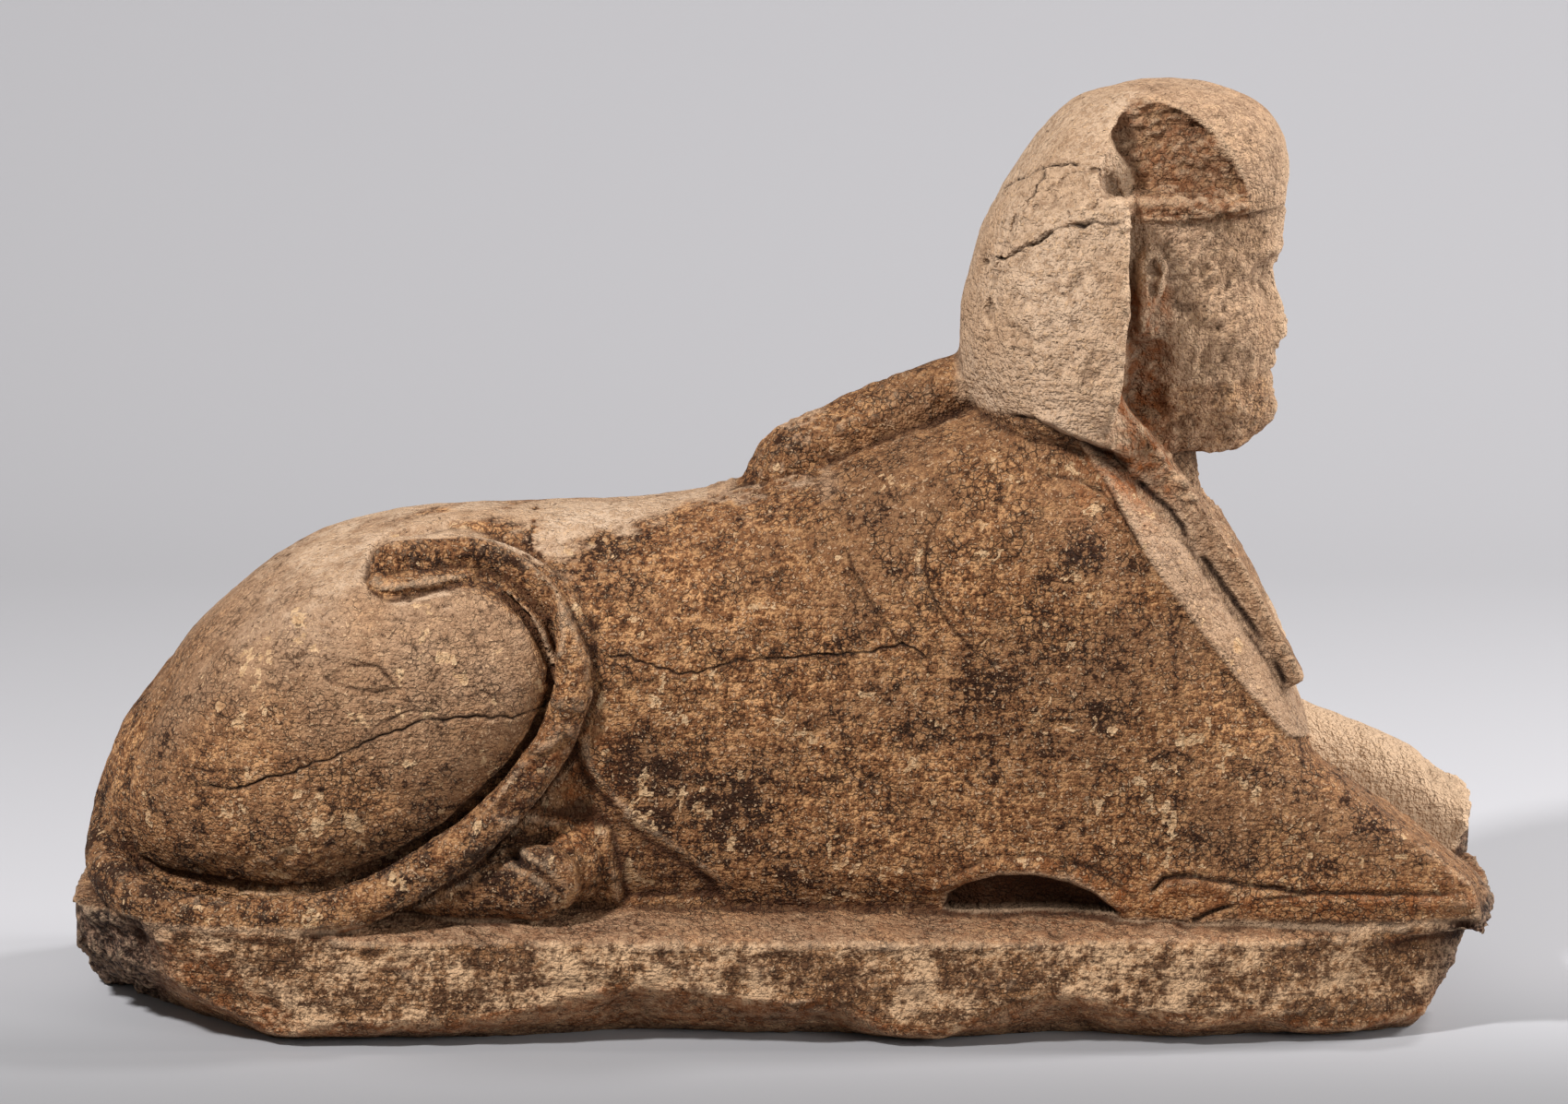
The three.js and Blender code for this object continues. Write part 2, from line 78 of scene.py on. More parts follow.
TAIL = [
    (-474, 6, 296), (-510, 3, 268), (-543, -3, 226), (-560, -34, 178), (-565, -84, 143),
    (-552, -128, 124), (-524, -158, 114), (-477, -178, 107), (-424, -184, 105), (-376, -184, 110),
    (-317, -181, 133), (-264, -178, 166), (-219, -170, 208), (-189, -160, 247), (-173, -155, 289),
    (-171, -150, 328), (-183, -145, 359), (-208, -138, 383), (-243, -132, 396), (-280, -130, 398),
]
UPPER_TAIL = [
    (-321, -141, 391), (-308, -141, 393), (-282, -139, 399), (-251, -137, 400), (-222, -140, 387),
    (-196, -147, 364), (-182, -150, 338), (-173, -151, 315), (-176, -155, 285),
]
TUFT = [(-262, -134, 398), (-284, -137, 397), (-312, -139, 393)]

MANE_EDGE = [
    (236, -134, 500), (262, -140, 462), (297, -150, 401), (339, -152, 343), (378, -150, 293),
    (412, -148, 254), (436, -146, 246),
]
NEMES_HEM = [
    (159, -118, 514), (204, -126, 512), (235, -128, 500), (262, -126, 484), (288, -126, 462),
    (318, -126, 436), (344, -126, 398), (376, -126, 354), (400, -126, 318), (414, -126, 293),
]
WING_EDGE = [(281, -130, 700), (282, -143, 640), (281, -153, 600), (278, -158, 560), (274, -158, 530)]

# Outlines on the right side, as (x, z).
SCOOP = [
    (266, 740), (276, 757), (284, 766), (297, 770), (312, 766), (331, 757), (352, 742), (366, 723),
    (373, 708), (381, 693), (384, 670), (339, 668), (284, 668), (284, 712), (274, 726),
]
NEMES_FOOT = [
    (204, 517), (235, 501), (265, 488), (300, 467), (318, 470), (292, 500), (273, 522), (240, 524),
]
FLAKED_SIDE = [
    (176, 575), (195, 562), (225, 550), (254, 542), (268, 533), (274, 560), (277, 600), (278, 640),
    (279, 690), (270, 712), (250, 716), (228, 708), (205, 695), (190, 672), (178, 650), (170, 620),
    (166, 595),
]

# Cracks: the way each one runs over the right side, its half width and its depth.
CRACKS = {
    "haunch": (0.9, 4.0, [
        (-487, -172, 217), (-452, -188, 216), (-421, -196, 227), (-383, -199, 239), (-352, -200, 253),
        (-322, -200, 266), (-292, -199, 275), (-255, -192, 277), (-219, -172, 275), (-197, -147, 278),
        (-186, -155, 295),
    ]),
    "haunch_branch": (0.6, 2.0, [
        (-520, -148, 204), (-505, -160, 222), (-487, -172, 231), (-462, -185, 230),
    ]),
    "haunch_hair": (0.5, 1.5, [
        (-345, -200, 258), (-330, -200, 274), (-303, -199, 284), (-280, -197, 281),
    ]),
    "tail_upper": (1.1, 5.0, [
        (-195, -150, 293), (-186, -158, 296), (-174, -162, 299), (-150, -148, 297),
    ]),
    "tail_lower": (0.7, 2.5, [
        (-234, -173, 242), (-216, -168, 242), (-196, -173, 239), (-181, -163, 233),
    ]),
    "tail_small": (0.5, 1.5, [(-196, -165, 272), (-184, -168, 270), (-170, -160, 272)]),
    "body": (0.8, 3.2, [
        (-157, -148, 314), (-129, -139, 317), (-106, -141, 310), (-83, -142, 303), (-61, -142, 307),
        (-38, -142, 315), (-15, -144, 317), (8, -146, 319), (38, -150, 321), (68, -154, 324),
        (98, -157, 330), (113, -158, 324), (124, -160, 314),
    ]),
    "nemes_low": (1.7, 8.0, [
        (160, -45, 631), (181, -94, 642), (203, -114, 655), (218, -120, 665), (232, -126, 671),
        (255, -132, 674), (278, -135, 672),
    ]),
    "nemes_high": (0.9, 4.0, [
        (180, -15, 687), (194, -50, 701), (212, -75, 713), (234, -94, 719), (264, -97, 717),
    ]),
    "nemes_mid": (0.7, 2.5, [(215, -82, 712), (196, -90, 678)]),
    "flank": (0.7, 2.2, [(-207, -11, 422), (-209, -59, 413), (-211, -84, 400)]),
}

# Lines cut by the carver, and the edges of thin layers: half width, depth, way.
CUT_LINES = {
    "shoulder_loop": (1.7, 2.2, [
        (152, -163, 329), (132, -160, 352), (119, -154, 375), (115, -149, 397), (119, -143, 419),
        (130, -137, 438), (151, -135, 455), (173, -135, 465), (196, -136, 469), (222, -138, 468),
        (241, -136, 464), (260, -138, 454), (275, -141, 438), (288, -148, 416),
    ]),
    "shoulder_back": (1.7, 2.0, [
        (52, -114, 428), (50, -126, 409), (57, -138, 388), (68, -147, 368), (83, -153, 346),
        (98, -157, 330), (113, -159, 313),
    ]),
    "mane_edge": (1.5, 3.0, MANE_EDGE),
    "nemes_hem": (2.6, 6.0, NEMES_HEM),
    "sinew_top": (2.4, 5.0, [
        (304, -170, 128), (312, -170, 138), (330, -170, 141), (352, -170, 138), (392, -170, 131),
        (429, -170, 127), (500, -170, 126), (561, -170, 126),
    ]),
    "sinew_split": (2.2, 4.5, [
        (337, -170, 103), (358, -170, 112), (388, -170, 119), (429, -170, 125),
    ]),
    "toe_split": (3.6, 7.0, [
        (-226, -175, 160), (-196, -178, 144), (-181, -172, 127), (-183, -170, 104),
    ]),
    "fold_top": (2.0, 2.5, [
        (128, -160, 131), (165, -168, 153), (211, -170, 158), (254, -168, 146), (288, -165, 121),
    ]),
    "chip_rim": (1.4, 1.8, [
        (-373, -190, 310), (-352, -190, 321), (-330, -191, 320), (-313, -196, 303), (-333, -197, 299),
        (-356, -195, 303), (-373, -190, 310),
    ]),
}
FOLD_HOLLOW = [
    (130, 100), (134, 120), (150, 131), (175, 140), (205, 142), (235, 137), (258, 125), (276, 108),
    (280, 100),
]
GROIN = [
    (-180, 262), (-166, 255), (-157, 223), (-125, 185), (-82, 154), (-51, 131), (-42, 108),
    (-138, 106), (-150, 168), (-200, 178), (-245, 196), (-215, 235),
]
EAR = [
    (288, 590), (288, 640), (296, 652), (308, 648), (315, 634), (312, 614), (305, 598), (300, 582),
    (292, 578),
]
EAR_HOLLOW = [(299, 610), (298, 637), (305, 642), (309, 628), (305, 611)]
SHOULDER_RIDGE = [(102, -131, 433), (107, -141, 415), (109, -148, 396), (113, -153, 375)]


def ramp(values, low, high):
    """0 below low, 1 above high, and a smooth rise between; low may lie above high."""
    t = np.clip((values - low) / (high - low), 0, 1)
    return t * t * (3 - 2 * t)


def box_mask(points, x, y, z, soft):
    """1 inside the box of (low, high) pairs, falling to 0 within soft outside it."""
    mask = np.ones(len(points))
    for values, span in zip(points.T, (x, y, z)):
        if span is not None:
            mask = mask * ramp(values, span[0] - soft, span[0]) * ramp(values, span[1] + soft, span[1])
    return mask


class Grit:
    """Seeded random patterns in space, the same at every run."""

    SIZE = 48

    def __init__(self, seed):
        rng = np.random.default_rng(seed)
        self.lattice = rng.uniform(-1, 1, (self.SIZE,) * 3).astype(np.float32)
        self.places = rng.uniform(0, 1, (self.SIZE,) * 3 + (3,)).astype(np.float32)
        turn = rng.normal(size=(3, 3))
        self.turn, _ = np.linalg.qr(turn)
        self.shift = rng.uniform(0, self.SIZE, 3)

    def lumps(self, points, size):
        """Soft lumps about size across, from -1 to 1; size may be one number or three."""
        if np.ndim(size) == 0:
            at = points @ self.turn / size + self.shift
        else:
            at = points / np.asarray(size, float) + self.shift
        cell = np.floor(at).astype(np.int32)
        part = (at - cell).astype(np.float32)
        part = part * part * (3 - 2 * part)
        total = np.zeros(len(points), np.float32)
        for corner in range(8):
            step = np.array([corner & 1, corner >> 1 & 1, corner >> 2 & 1])
            i, j, k = ((cell + step) % self.SIZE).T
            weight = np.prod(np.where(step, part, 1 - part), axis=1)
            total += weight * self.lattice[i, j, k]
        return total * 1.35

    def layered(self, points, size, layers=3, fall=0.5):
        """Lumps with finer lumps on them."""
        total, weight = 0, 1.0
        for layer in range(layers):
            total = total + weight * self.lumps(points + 31.7 * layer, np.asarray(size) / 2.03**layer)
            weight *= fall
        return total

    def spots(self, points, size):
        """Distance to the nearest scattered point, as a share of size, and that point's own number."""
        at = points @ self.turn / size + self.shift
        cell = np.floor(at).astype(np.int32)
        best = np.full(len(points), 9.0)
        own = np.zeros(len(points))
        for corner in np.ndindex(3, 3, 3):
            near = cell + np.array(corner) - 1
            i, j, k = (near % self.SIZE).T
            away = np.linalg.norm(at - near - self.places[i, j, k], axis=1)
            closer = away < best
            best = np.where(closer, away, best)
            own = np.where(closer, self.lattice[i, j, k], own)
        return best, own


def path_reach(points, path, reach):
    """For each point: distance to the path, the share of its length there, and the height above it."""
    path = np.asarray(path, float)
    distance = np.full(len(points), 1e6)
    share, above = np.zeros(len(points)), np.zeros(len(points))
    low, high = path.min(0) - reach, path.max(0) + reach
    near = np.nonzero(((points > low) & (points < high)).all(1))[0]
    lengths = np.linalg.norm(np.diff(path, axis=0), axis=1)
    start = np.concatenate([[0], np.cumsum(lengths)])
    for a, b, length, begin in zip(path, path[1:], lengths, start):
        along = np.clip((points[near] - a) @ (b - a) / length**2, 0, 1)
        foot = a + along[:, None] * (b - a)
        away = np.linalg.norm(points[near] - foot, axis=1)
        closer = away < distance[near]
        chosen = near[closer]
        distance[chosen] = away[closer]
        share[chosen] = (begin + along[closer] * length) / start[-1]
        above[chosen] = points[chosen, 2] - foot[closer, 2]
    return distance, share, above


def flat(points, depth=0.25):
    """Points with their Y counted less, so that a line drawn from the right side cuts straight in."""
    return points * np.array([1, depth, 1])


def within(points, outline):
    """How far inside an outline of (x, z) corners each point lies; outside it the value is below 0."""
    x, z = points[:, 0], points[:, 2]
    away = np.full(len(points), 1e6)
    inside = np.zeros(len(points), bool)
    for (ax, az), (bx, bz) in zip(outline, outline[1:] + outline[:1]):
        share = ((x - ax) * (bx - ax) + (z - az) * (bz - az)) / ((bx - ax) ** 2 + (bz - az) ** 2)
        share = np.clip(share, 0, 1)
        away = np.minimum(away, np.hypot(x - ax - share * (bx - ax), z - az - share * (bz - az)))
        crosses = (az > z) != (bz > z)
        inside ^= crosses & (x < ax + (z - az) * (bx - ax) / (bz - az + 1e-9))
    return np.where(inside, away, -away)


class Skin:
    """The statue's surface as arrays: points in millimetres, and each point's neighbours."""

    def __init__(self, mesh):
        self.mesh = mesh
        self.points = self.read(mesh.vertices, "co", 3) / MM
        edges = self.read(mesh.edges, "vertices", 2, np.int32)
        both = np.concatenate([edges, edges[:, ::-1]])
        both = both[np.argsort(both[:, 0], kind="stable")]
        self.links = both
        count = np.bincount(both[:, 0], minlength=len(self.points))
        place = np.arange(len(both)) - np.repeat(np.cumsum(count) - count, count)
        width = int(np.percentile(count, 99.99))
        kept = place < width
        self.near = np.repeat(np.arange(len(self.points))[:, None], width, axis=1)
        self.near[both[kept, 0], place[kept]] = both[kept, 1]
        self.own = width - np.minimum(count, width)
        self.count = np.minimum(count, width)

    @staticmethod
    def read(items, name, width, kind=np.float32):
        values = np.empty(len(items) * width, kind)
        items.foreach_get(name, values)
        return values.reshape(-1, width) if width > 1 else values

    def write(self):
        self.mesh.vertices.foreach_set("co", (self.points * MM).astype(np.float32).ravel())
        self.mesh.update()

    def normals(self):
        self.write()
        return self.read(self.mesh.vertex_normals, "vector", 3).astype(float)

    def mean(self, values, rows=slice(None)):
        """The mean of each point's neighbours."""
        own, count = self.own[rows], self.count[rows]
        if values.ndim > 1:
            own, count = own[:, None], count[:, None]
        return (values[self.near[rows]].sum(1) - own * values[rows]) / count

    def blur(self, values, rounds, rate=0.9):
        for _ in range(rounds):
            values = values + rate * (self.mean(values) - values)
        return values

    def rub(self, rounds, locked, rate=0.9):
        """Rubs every unlocked point smooth for its own number of rounds."""
        rounds = np.where(locked, 0, rounds)
        for done in range(int(rounds.max())):
            if done % 8 == 0:
                rows = np.nonzero(rounds > done)[0]
            self.points[rows] += rate * (self.mean(self.points, rows) - self.points[rows])

    def bends(self):
        """The sharpest hollow and the sharpest ridge at each point, in 1/mm."""
        normals = self.normals()
        i, j = self.links.T
        step = self.points[j] - self.points[i]
        bend = ((normals[j] - normals[i]) * step).sum(1) / (step**2).sum(1)
        hollow, ridge = np.zeros(len(self.points)), np.zeros(len(self.points))
        np.minimum.at(hollow, i, bend)
        np.maximum.at(ridge, i, bend)
        return -hollow, ridge


def carved_copy():
    """The CAD solid as one closed skin of even facets."""
    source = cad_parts["sphinx"]
    mesh = source.data.copy()
    work = bmesh.new()
    work.from_mesh(mesh)
    bmesh.ops.remove_doubles(work, verts=work.verts, dist=0.01 * MM)
    work.to_mesh(mesh)
    work.free()
    statue = bpy.data.objects.new("sphinx_stone", mesh)
    bpy.context.scene.collection.objects.link(statue)
    remesh = statue.modifiers.new("facets", "REMESH")
    remesh.mode = "VOXEL"
    remesh.voxel_size = FACET * MM
    mesh = bpy.data.meshes.new_from_object(statue.evaluated_get(bpy.context.evaluated_depsgraph_get()))
    statue.modifiers.clear()
    statue.data = mesh
    return statue


def rub_smooth(skin):
    """Takes the flats off the carved forms and keeps the creases between them."""
    points = skin.points
    x, y, z = points.T
    hollow, ridge = skin.bends()
    crisp = (z < PLINTH_TOP) | ((x > 240) & (x < 296) & (z > 500) & (np.abs(y) > 85))
    crisp |= box_mask(points, (250, 440), None, (240, 530), 1) > 0
    crisp |= (x > 520) & (z < 260)
    crisp |= np.abs(z - BROW_BAND) < 5
    folds = (np.abs(y) > 120) & (z < 172) & (x > 90)
    locked = (hollow > CREASE) | (crisp & (ridge > CREASE)) | (folds & (hollow > 0.07))
    rounds = np.full(len(points), 150.0)
    tail_away, _, _ = path_reach(points, TAIL, 45)
    rounds = np.where(tail_away < 34, 26, rounds)
    rounds = np.where(path_reach(points, TUFT, 40)[0] < 36, 26, rounds)
    feet = (x > -330) & (x < -120) & (z < 190) & (np.abs(y) > 60)
    rounds = np.where(feet, 8, rounds)
    rounds = np.where((np.abs(y) > 120) & (z < 172) & (x > 90), 5, rounds)
    rounds = np.where((x > 296) & (z > HEAD_FOOT) & (z < 672), 10, rounds)
    rounds = np.where((x > 240) & (x < 330) & (np.abs(y) > 70) & (z > 540) & (z < 700), 12, rounds)
    rounds = np.where((x < 150) & (z > 400) & (np.abs(y) < 60) & (x > -60), 60, rounds)
    rounds = np.where(z < PLINTH_TOP + 2, 20, rounds)
    rounds = np.where((x > 500) & (z < 260), 20, rounds)
    before = points.copy()
    skin.rub(rounds, locked)
    normals = skin.normals()
    loss = ((before - skin.points) * normals).sum(1)
    skin.points += normals * skin.blur(loss, 90)[:, None]
    skin.rub(np.full(len(points), 4.0), np.zeros(len(points), bool), 0.7)


def refine(statue, reaches):
    """Halves the facets that lie near the given ways, once for each (ways, reach) pair."""
    work = bmesh.new()
    work.from_mesh(statue.data)
    for ways, reach in reaches:
        work.verts.ensure_lookup_table()
        places = np.array([vertex.co for vertex in work.verts]) / MM
        fine = np.zeros(len(places), bool)
        for way in ways:
            fine |= path_reach(flat(places), flat(np.array(way)), reach)[0] < reach
        edges = [edge for edge in work.edges if fine[edge.verts[0].index] and fine[edge.verts[1].index]]
        bmesh.ops.subdivide_edges(work, edges=edges, cuts=1, use_grid_fill=True)
    work.to_mesh(statue.data)
    work.free()


def swell(points, path, radii):
    """Pulls the skin over a rod of changing radius out to the rod's right side, along Y."""
    level = np.array([(x, 0, z) for x, _, z in path], float)
    distance, share, _ = path_reach(points * (1, 0, 1), level, max(radii) + 5)
    foot = path_point(path, share)
    radius = np.interp(share, np.linspace(0, 1, len(radii)), radii)
    cover = foot[:, 1] - np.sqrt(np.clip(radius**2 - distance**2, 0, None))
    over = (distance < radius) & (np.abs(points[:, 1] - foot[:, 1]) < 50)
    pull = np.where(over, np.clip(points[:, 1] - cover, 0, None), 0)
    points[:, 1] -= pull * ramp(pull, 24, 14)


def path_point(path, share):
    path = np.asarray(path, float)
    start = np.concatenate([[0], np.cumsum(np.linalg.norm(np.diff(path, axis=0), axis=1))])
    return np.stack([np.interp(share * start[-1], start, values) for values in path.T], axis=1)


def terrace(values, steepness=0.25):
    """Turns a smooth rise into ledges with steep risers."""
    whole = np.floor(values)
    return whole + ramp(values - whole, 0, steepness)


def zones(points, normals):
    """How far each point belongs to each part of the statue, from 0 to 1."""
    x, y, z = points.T
    zone = {"plinth": ramp(z, PLINTH_TOP + 2, PLINTH_TOP - 6)}
    plinth = zone["plinth"]
    hem = np.interp(x, [150, 204, 235, 265, 300, 333, 362], [514, 512, 500, 486, 465, 444, 398])
    zone["head"] = head = ramp(z - hem, -2, 3) * ramp(x, 140, 150)
    zone["wing"] = head * ramp(x, 292, 282) * ramp(np.abs(y), 30, 70) * ramp(z, 480, 530)
    zone["face"] = head * ramp(x, 292, 300) * ramp(z, 678, 670)
    zone["flaked"] = ramp(within(points, FLAKED_SIDE), -3, 1) * (y < -30)
    tail_away = np.minimum(path_reach(points, TAIL, 45)[0], path_reach(points, UPPER_TAIL, 45)[0])
    zone["tail"] = ramp(tail_away, 30, 22)
    zone["lappet"] = box_mask(points, (262, 440), None, (262, 530), 6) * ramp(x - 0.62 * (528 - z), 262, 280)
    zone["queue"] = box_mask(points, (-60, 150), (-55, 55), (405, 530), 8)
    round_haunch = ramp(np.hypot((x + 345) / 190, (z - 265) / 150), 1.08, 0.95)
    zone["haunch"] = round_haunch * (1 - zone["tail"]) * (1 - plinth)
    zone["body"] = (1 - plinth) * (1 - head)
    zone["feet"] = box_mask(points, (-330, -110), None, (106, 190), 6) * ramp(np.abs(y), 60, 90)
    # The far foreleg: the tint paints it lighter, as painted light.
    strayed = y + 20 * Grit(19).layered(points, 40, 3)
    zone["far_leg"] = ramp(x, 395, 430) * ramp(strayed, -75, 5) * ramp(z, 108, 116) * (1 - plinth)
    edge = np.interp(z, [246, 254, 293, 343, 401, 462, 500], [436, 412, 378, 339, 297, 262, 236])
    zone["bib"] = ramp(x - edge, -1, 2) * ramp(z, 244, 250) * (1 - head)

    ends = ramp(x, 572, 590) * ramp(normals[:, 0], 0.3, 0.7)
    stub = ramp(x, 548, 560) * ramp(y, -20, 40) * ramp(z, 112, 125) * ramp(normals[:, 0], 0.2, 0.6)
    zone["under"] = plinth * ramp(normals[:, 2], -0.12, -0.35) * ramp(z, 3, 12)
    rear = plinth * ramp(x, -490, -540) * ramp(normals[:, 2], 0.8, 0.5)
    prow = plinth * ramp(x, 520, 560) * ramp(normals[:, 2], 0.8, 0.5)
    zone["broken"] = np.clip(ends + stub + rear + prow, 0, 1)
    zone["side"] = plinth * ramp(np.abs(normals[:, 2]), 0.75, 0.5) * (1 - zone["broken"])
    zone["scoop"] = ramp(within(points, SCOOP), -1, 3) * (y < -20)
    return zone


def weather(skin):
    """Works out how far each point of the stone has worn, and what the finish needs to know there."""
    points = skin.points
    normals = skin.normals()
    _, y, z = points.T
    zone = zones(points, normals)
    sky = ramp(normals[:, 2], 0.35, 0.9)
    coarse, middling, fine = Grit(11), Grit(12), Grit(13)
    lost, pits, flakes, strata, breaks = Grit(14), Grit(15), Grit(16), Grit(17), Grit(18)
    parts = ("head", "wing", "haunch", "plinth", "broken")
    head, wing, haunch, plinth, broken = (zone[name] for name in parts)

    height = 1.3 * coarse.lumps(points, 90) + 0.8 * middling.lumps(points, 36)
    height += (0.45 + 0.3 * plinth) * fine.lumps(points, 15) + 0.32 * coarse.lumps(points, 7.5)

    # The brown crust of the body, and where it has come off.
    pattern = lost.layered(points, 16, 4, 0.7)
    wear = 0.3 * coarse.lumps(points, 120) - 0.7
    for at, size, gain in BARE:
        wear += gain * np.exp(-(((points - at) / size) ** 2).sum(1))
    crust = ramp(pattern - wear, -0.55, -0.4)
    height += 0.6 * crust * zone["body"] * (1 - zone["bib"]) + 2.6 * zone["bib"]

    # Small pits everywhere, and a few larger ones.
    away, own = pits.spots(points, 9)
    height -= 0.8 * ramp(away, 0.3, 0.08) * (own > 0.35) * (1 - 0.7 * haunch) * (1 - 0.7 * zone["bib"])
    away, own = fine.spots(points, 34)
    height -= 2.0 * ramp(away, 0.1, 0.03) * (own > 0.45)

    # Tail and feet: the crust stands in little islands.
    islands = ramp(lost.layered(points, 9, 2, 0.6), -0.25, 0.0)
    height += 0.45 * islands * np.clip(zone["tail"] + zone["feet"], 0, 1)

    # Headdress and face: thin flakes have split off the sides.
    shell = flakes.layered(points, 60, 4, 0.5)
    height += zone["flaked"] * (2.6 * terrace(1.3 * shell, 0.12) + 1.6 * flakes.layered(points, 12, 3, 0.6))
    height += wing * (1 - zone["flaked"]) * 0.5 * flakes.layered(points, 18, 3, 0.6)
    height += head * (1 - wing) * 0.35 * flakes.layered(points, 16, 3)
    ledges = 2.2 * terrace(1.3 * breaks.layered(points, 45, 4, 0.55), 0.12)
    height += zone["face"] * (ledges + 1.1 * breaks.layered(points, 10, 2))
    ledges = 0.6 * terrace(breaks.layered(points, 28, 2))
    height += zone["queue"] * (1.5 * breaks.layered(points, 17, 3, 0.6) + ledges)
    height += zone["lappet"] * 0.6 * terrace(1.5 * flakes.layered(points, 20, 3))

    # Plinth: sawn and struck sides with level beds in the stone, worn edge.
    beds = strata.lumps(points, (150, 150, 11)) + 0.6 * strata.lumps(points + 300, (60, 60, 5))
    height += zone["side"] * (0.8 * beds + 0.7 * fine.layered(points, 15, 3, 0.6))
    height += plinth * sky * 0.5 * fine.layered(points, 24, 3)
    dents, own = pits.spots(points * (1, 1, 0.5), 42)
    rim = plinth * ramp(np.abs(z - 92), 14, 5) * ramp(np.abs(y), 150, 170)
    height -= rim * (own > 0.0) * 3.5 * ramp(dents, 0.35, 0.1)

    # Broken faces.
    ledges = 1.8 * terrace(1.5 * breaks.layered(points, 26, 3, 0.6), 0.2)
    rough = 4.5 * breaks.layered(points, 44, 4, 0.6) + ledges
    height = height * (1 - 0.5 * broken) + broken * (rough - 1.5)
    height += zone["under"] * (1 - broken) * 1.5 * breaks.layered(points, (50, 50, 25), 4, 0.55)
    ledges = 3.0 * terrace(1.3 * strata.layered(points, (60, 60, 26), 4, 0.6), 0.2)
    height += zone["scoop"] * (ledges + 1.4 * breaks.layered(points, 13, 3))

    height += lens_chip(points)
    height += spall(points, lost)

    # Cracks and cut lines. Their ways wander a little from side to side.
    wander = 1.5 * np.stack([Grit(30 + axis).layered(points, 9, 2, 0.5) for axis in range(3)], axis=1)
    strayed = flat(points + wander)
    crack = np.zeros(len(points))
    for half, depth, way in CRACKS.values():
        away, share, above = path_reach(strayed, flat(np.array(way)), 14)
        ends = ramp(share, -0.01, 0.07) * ramp(share, 1.01, 0.93)
        opening = half * (0.75 + 0.5 * middling.lumps(points, 26))
        cut = np.exp(-((away / np.maximum(opening, 1.1)) ** 2)) * ends
        height -= depth * cut * (0.7 + 0.3 * coarse.lumps(points, 19))
        height += ends * 0.35 * np.sign(-above) * ramp(away, 12, 0.5) * (away < 13)
        crack = np.maximum(crack, cut * min(1.0, 0.45 + 0.14 * depth))
    line = np.zeros(len(points))
    strayed = flat(points + 0.35 * wander)
    for half, depth, way in CUT_LINES.values():
        away, share, _ = path_reach(strayed, flat(np.array(way)), 12)
        cut = np.exp(-((away / half) ** 2)) * ramp(middling.lumps(points, 30), -0.9, -0.1)
        height -= depth * cut
        line = np.maximum(line, cut * min(1.0, 0.25 * depth))
    away, _, _ = path_reach(strayed, flat(np.array(SHOULDER_RIDGE)), 20)
    height += 1.2 * np.exp(-((away / 4) ** 2))

    zone.update(crack=crack, line=line, crust=crust, bare=(1 - crust) * zone["body"])
    return height, normals, zone


BARE = [  # where the crust is lost: place, spread, strength
    ((-88, -140, 220), (30, 60, 26), 0.95),
    ((158, -150, 262), (46, 60, 34), 0.75),
    ((312, -150, 240), (18, 60, 34), 0.5),
    ((0, -150, 160), (150, 60, 24), 0.45),
    ((-352, -190, 192), (34, 60, 12), 0.95),
    ((-285, -190, 222), (22, 60, 8), 0.85),
    ((-436, -185, 152), (26, 60, 9), 0.6),
]


def lens_chip(points):
    """A lens-shaped flake sunk into the haunch, with its middle still standing."""
    _, _, way = CUT_LINES["chip_rim"]
    middle = np.mean(way[:-1], axis=0)
    along, across = points[:, 0] - middle[0], points[:, 2] - middle[2]
    turn = math.radians(-14)
    u = along * math.cos(turn) + across * math.sin(turn)
    v = -along * math.sin(turn) + across * math.cos(turn)
    inside = np.hypot(u / 34, v / 13)
    return -1.8 * ramp(inside, 1.15, 0.95) * (points[:, 1] < -150) * (1 - 0.55 * ramp(inside, 0.7, 0.45))


def spall(points, grit):
    """The shallow scar low on the haunch, where a sheet of stone has split off."""
    u, v = points[:, 0] + 441, points[:, 2] - 144 - 0.05 * (points[:, 0] + 441)
    inside = np.hypot(u / 50, v / 17) + 0.35 * grit.layered(points, 16, 3, 0.6)
    return -1.8 * ramp(inside, 1.05, 0.93) * (points[:, 1] < -120) * (points[:, 1] > -190)


def face_forms(points):
    """How far the worn features stand out of a plain head, by usual proportions."""
    across, up = np.abs(points[:, 1]), (points[:, 2] - CHIN) / HEAD_HEIGHT

    def mound(reach, height, wide, tall):
        return np.exp(-(((across - reach) / wide) ** 2) - ((up - height) / tall) ** 2)

    def furrow(reach, height, wide, arch):
        along = (across - reach) / wide
        line = height + arch * (1 - along**2)
        return np.exp(-(((up - line) * HEAD_HEIGHT / 2.4) ** 2)) * ramp(np.abs(along), 1.1, 0.9)

    nose_wide = 7 + 9 * ramp(up, 0.46, 0.29)
    nose = ramp(across, nose_wide + 2, nose_wide - 2) * ramp(up, 0.265, 0.285) * ramp(up, 0.52, 0.44)
    worn = 0.75 + 0.25 * Grit(60).layered(points, 14, 2)
    forms = 3.5 * mound(33, 0.56, 20, 0.025) - 4.5 * mound(33, 0.49, 19, 0.05)
    forms += 4.5 * mound(34, 0.485, 12, 0.026)
    forms -= 2.6 * furrow(34, 0.485, 18, 0.03) + 2.0 * furrow(34, 0.485, 17, -0.026)
    forms += 4.5 * nose + 3.0 * mound(0, 0.2, 20, 0.02) + 3.0 * mound(0, 0.135, 17, 0.02)
    forms -= 3.2 * furrow(0, 0.17, 25, 0.004)
    return forms * worn


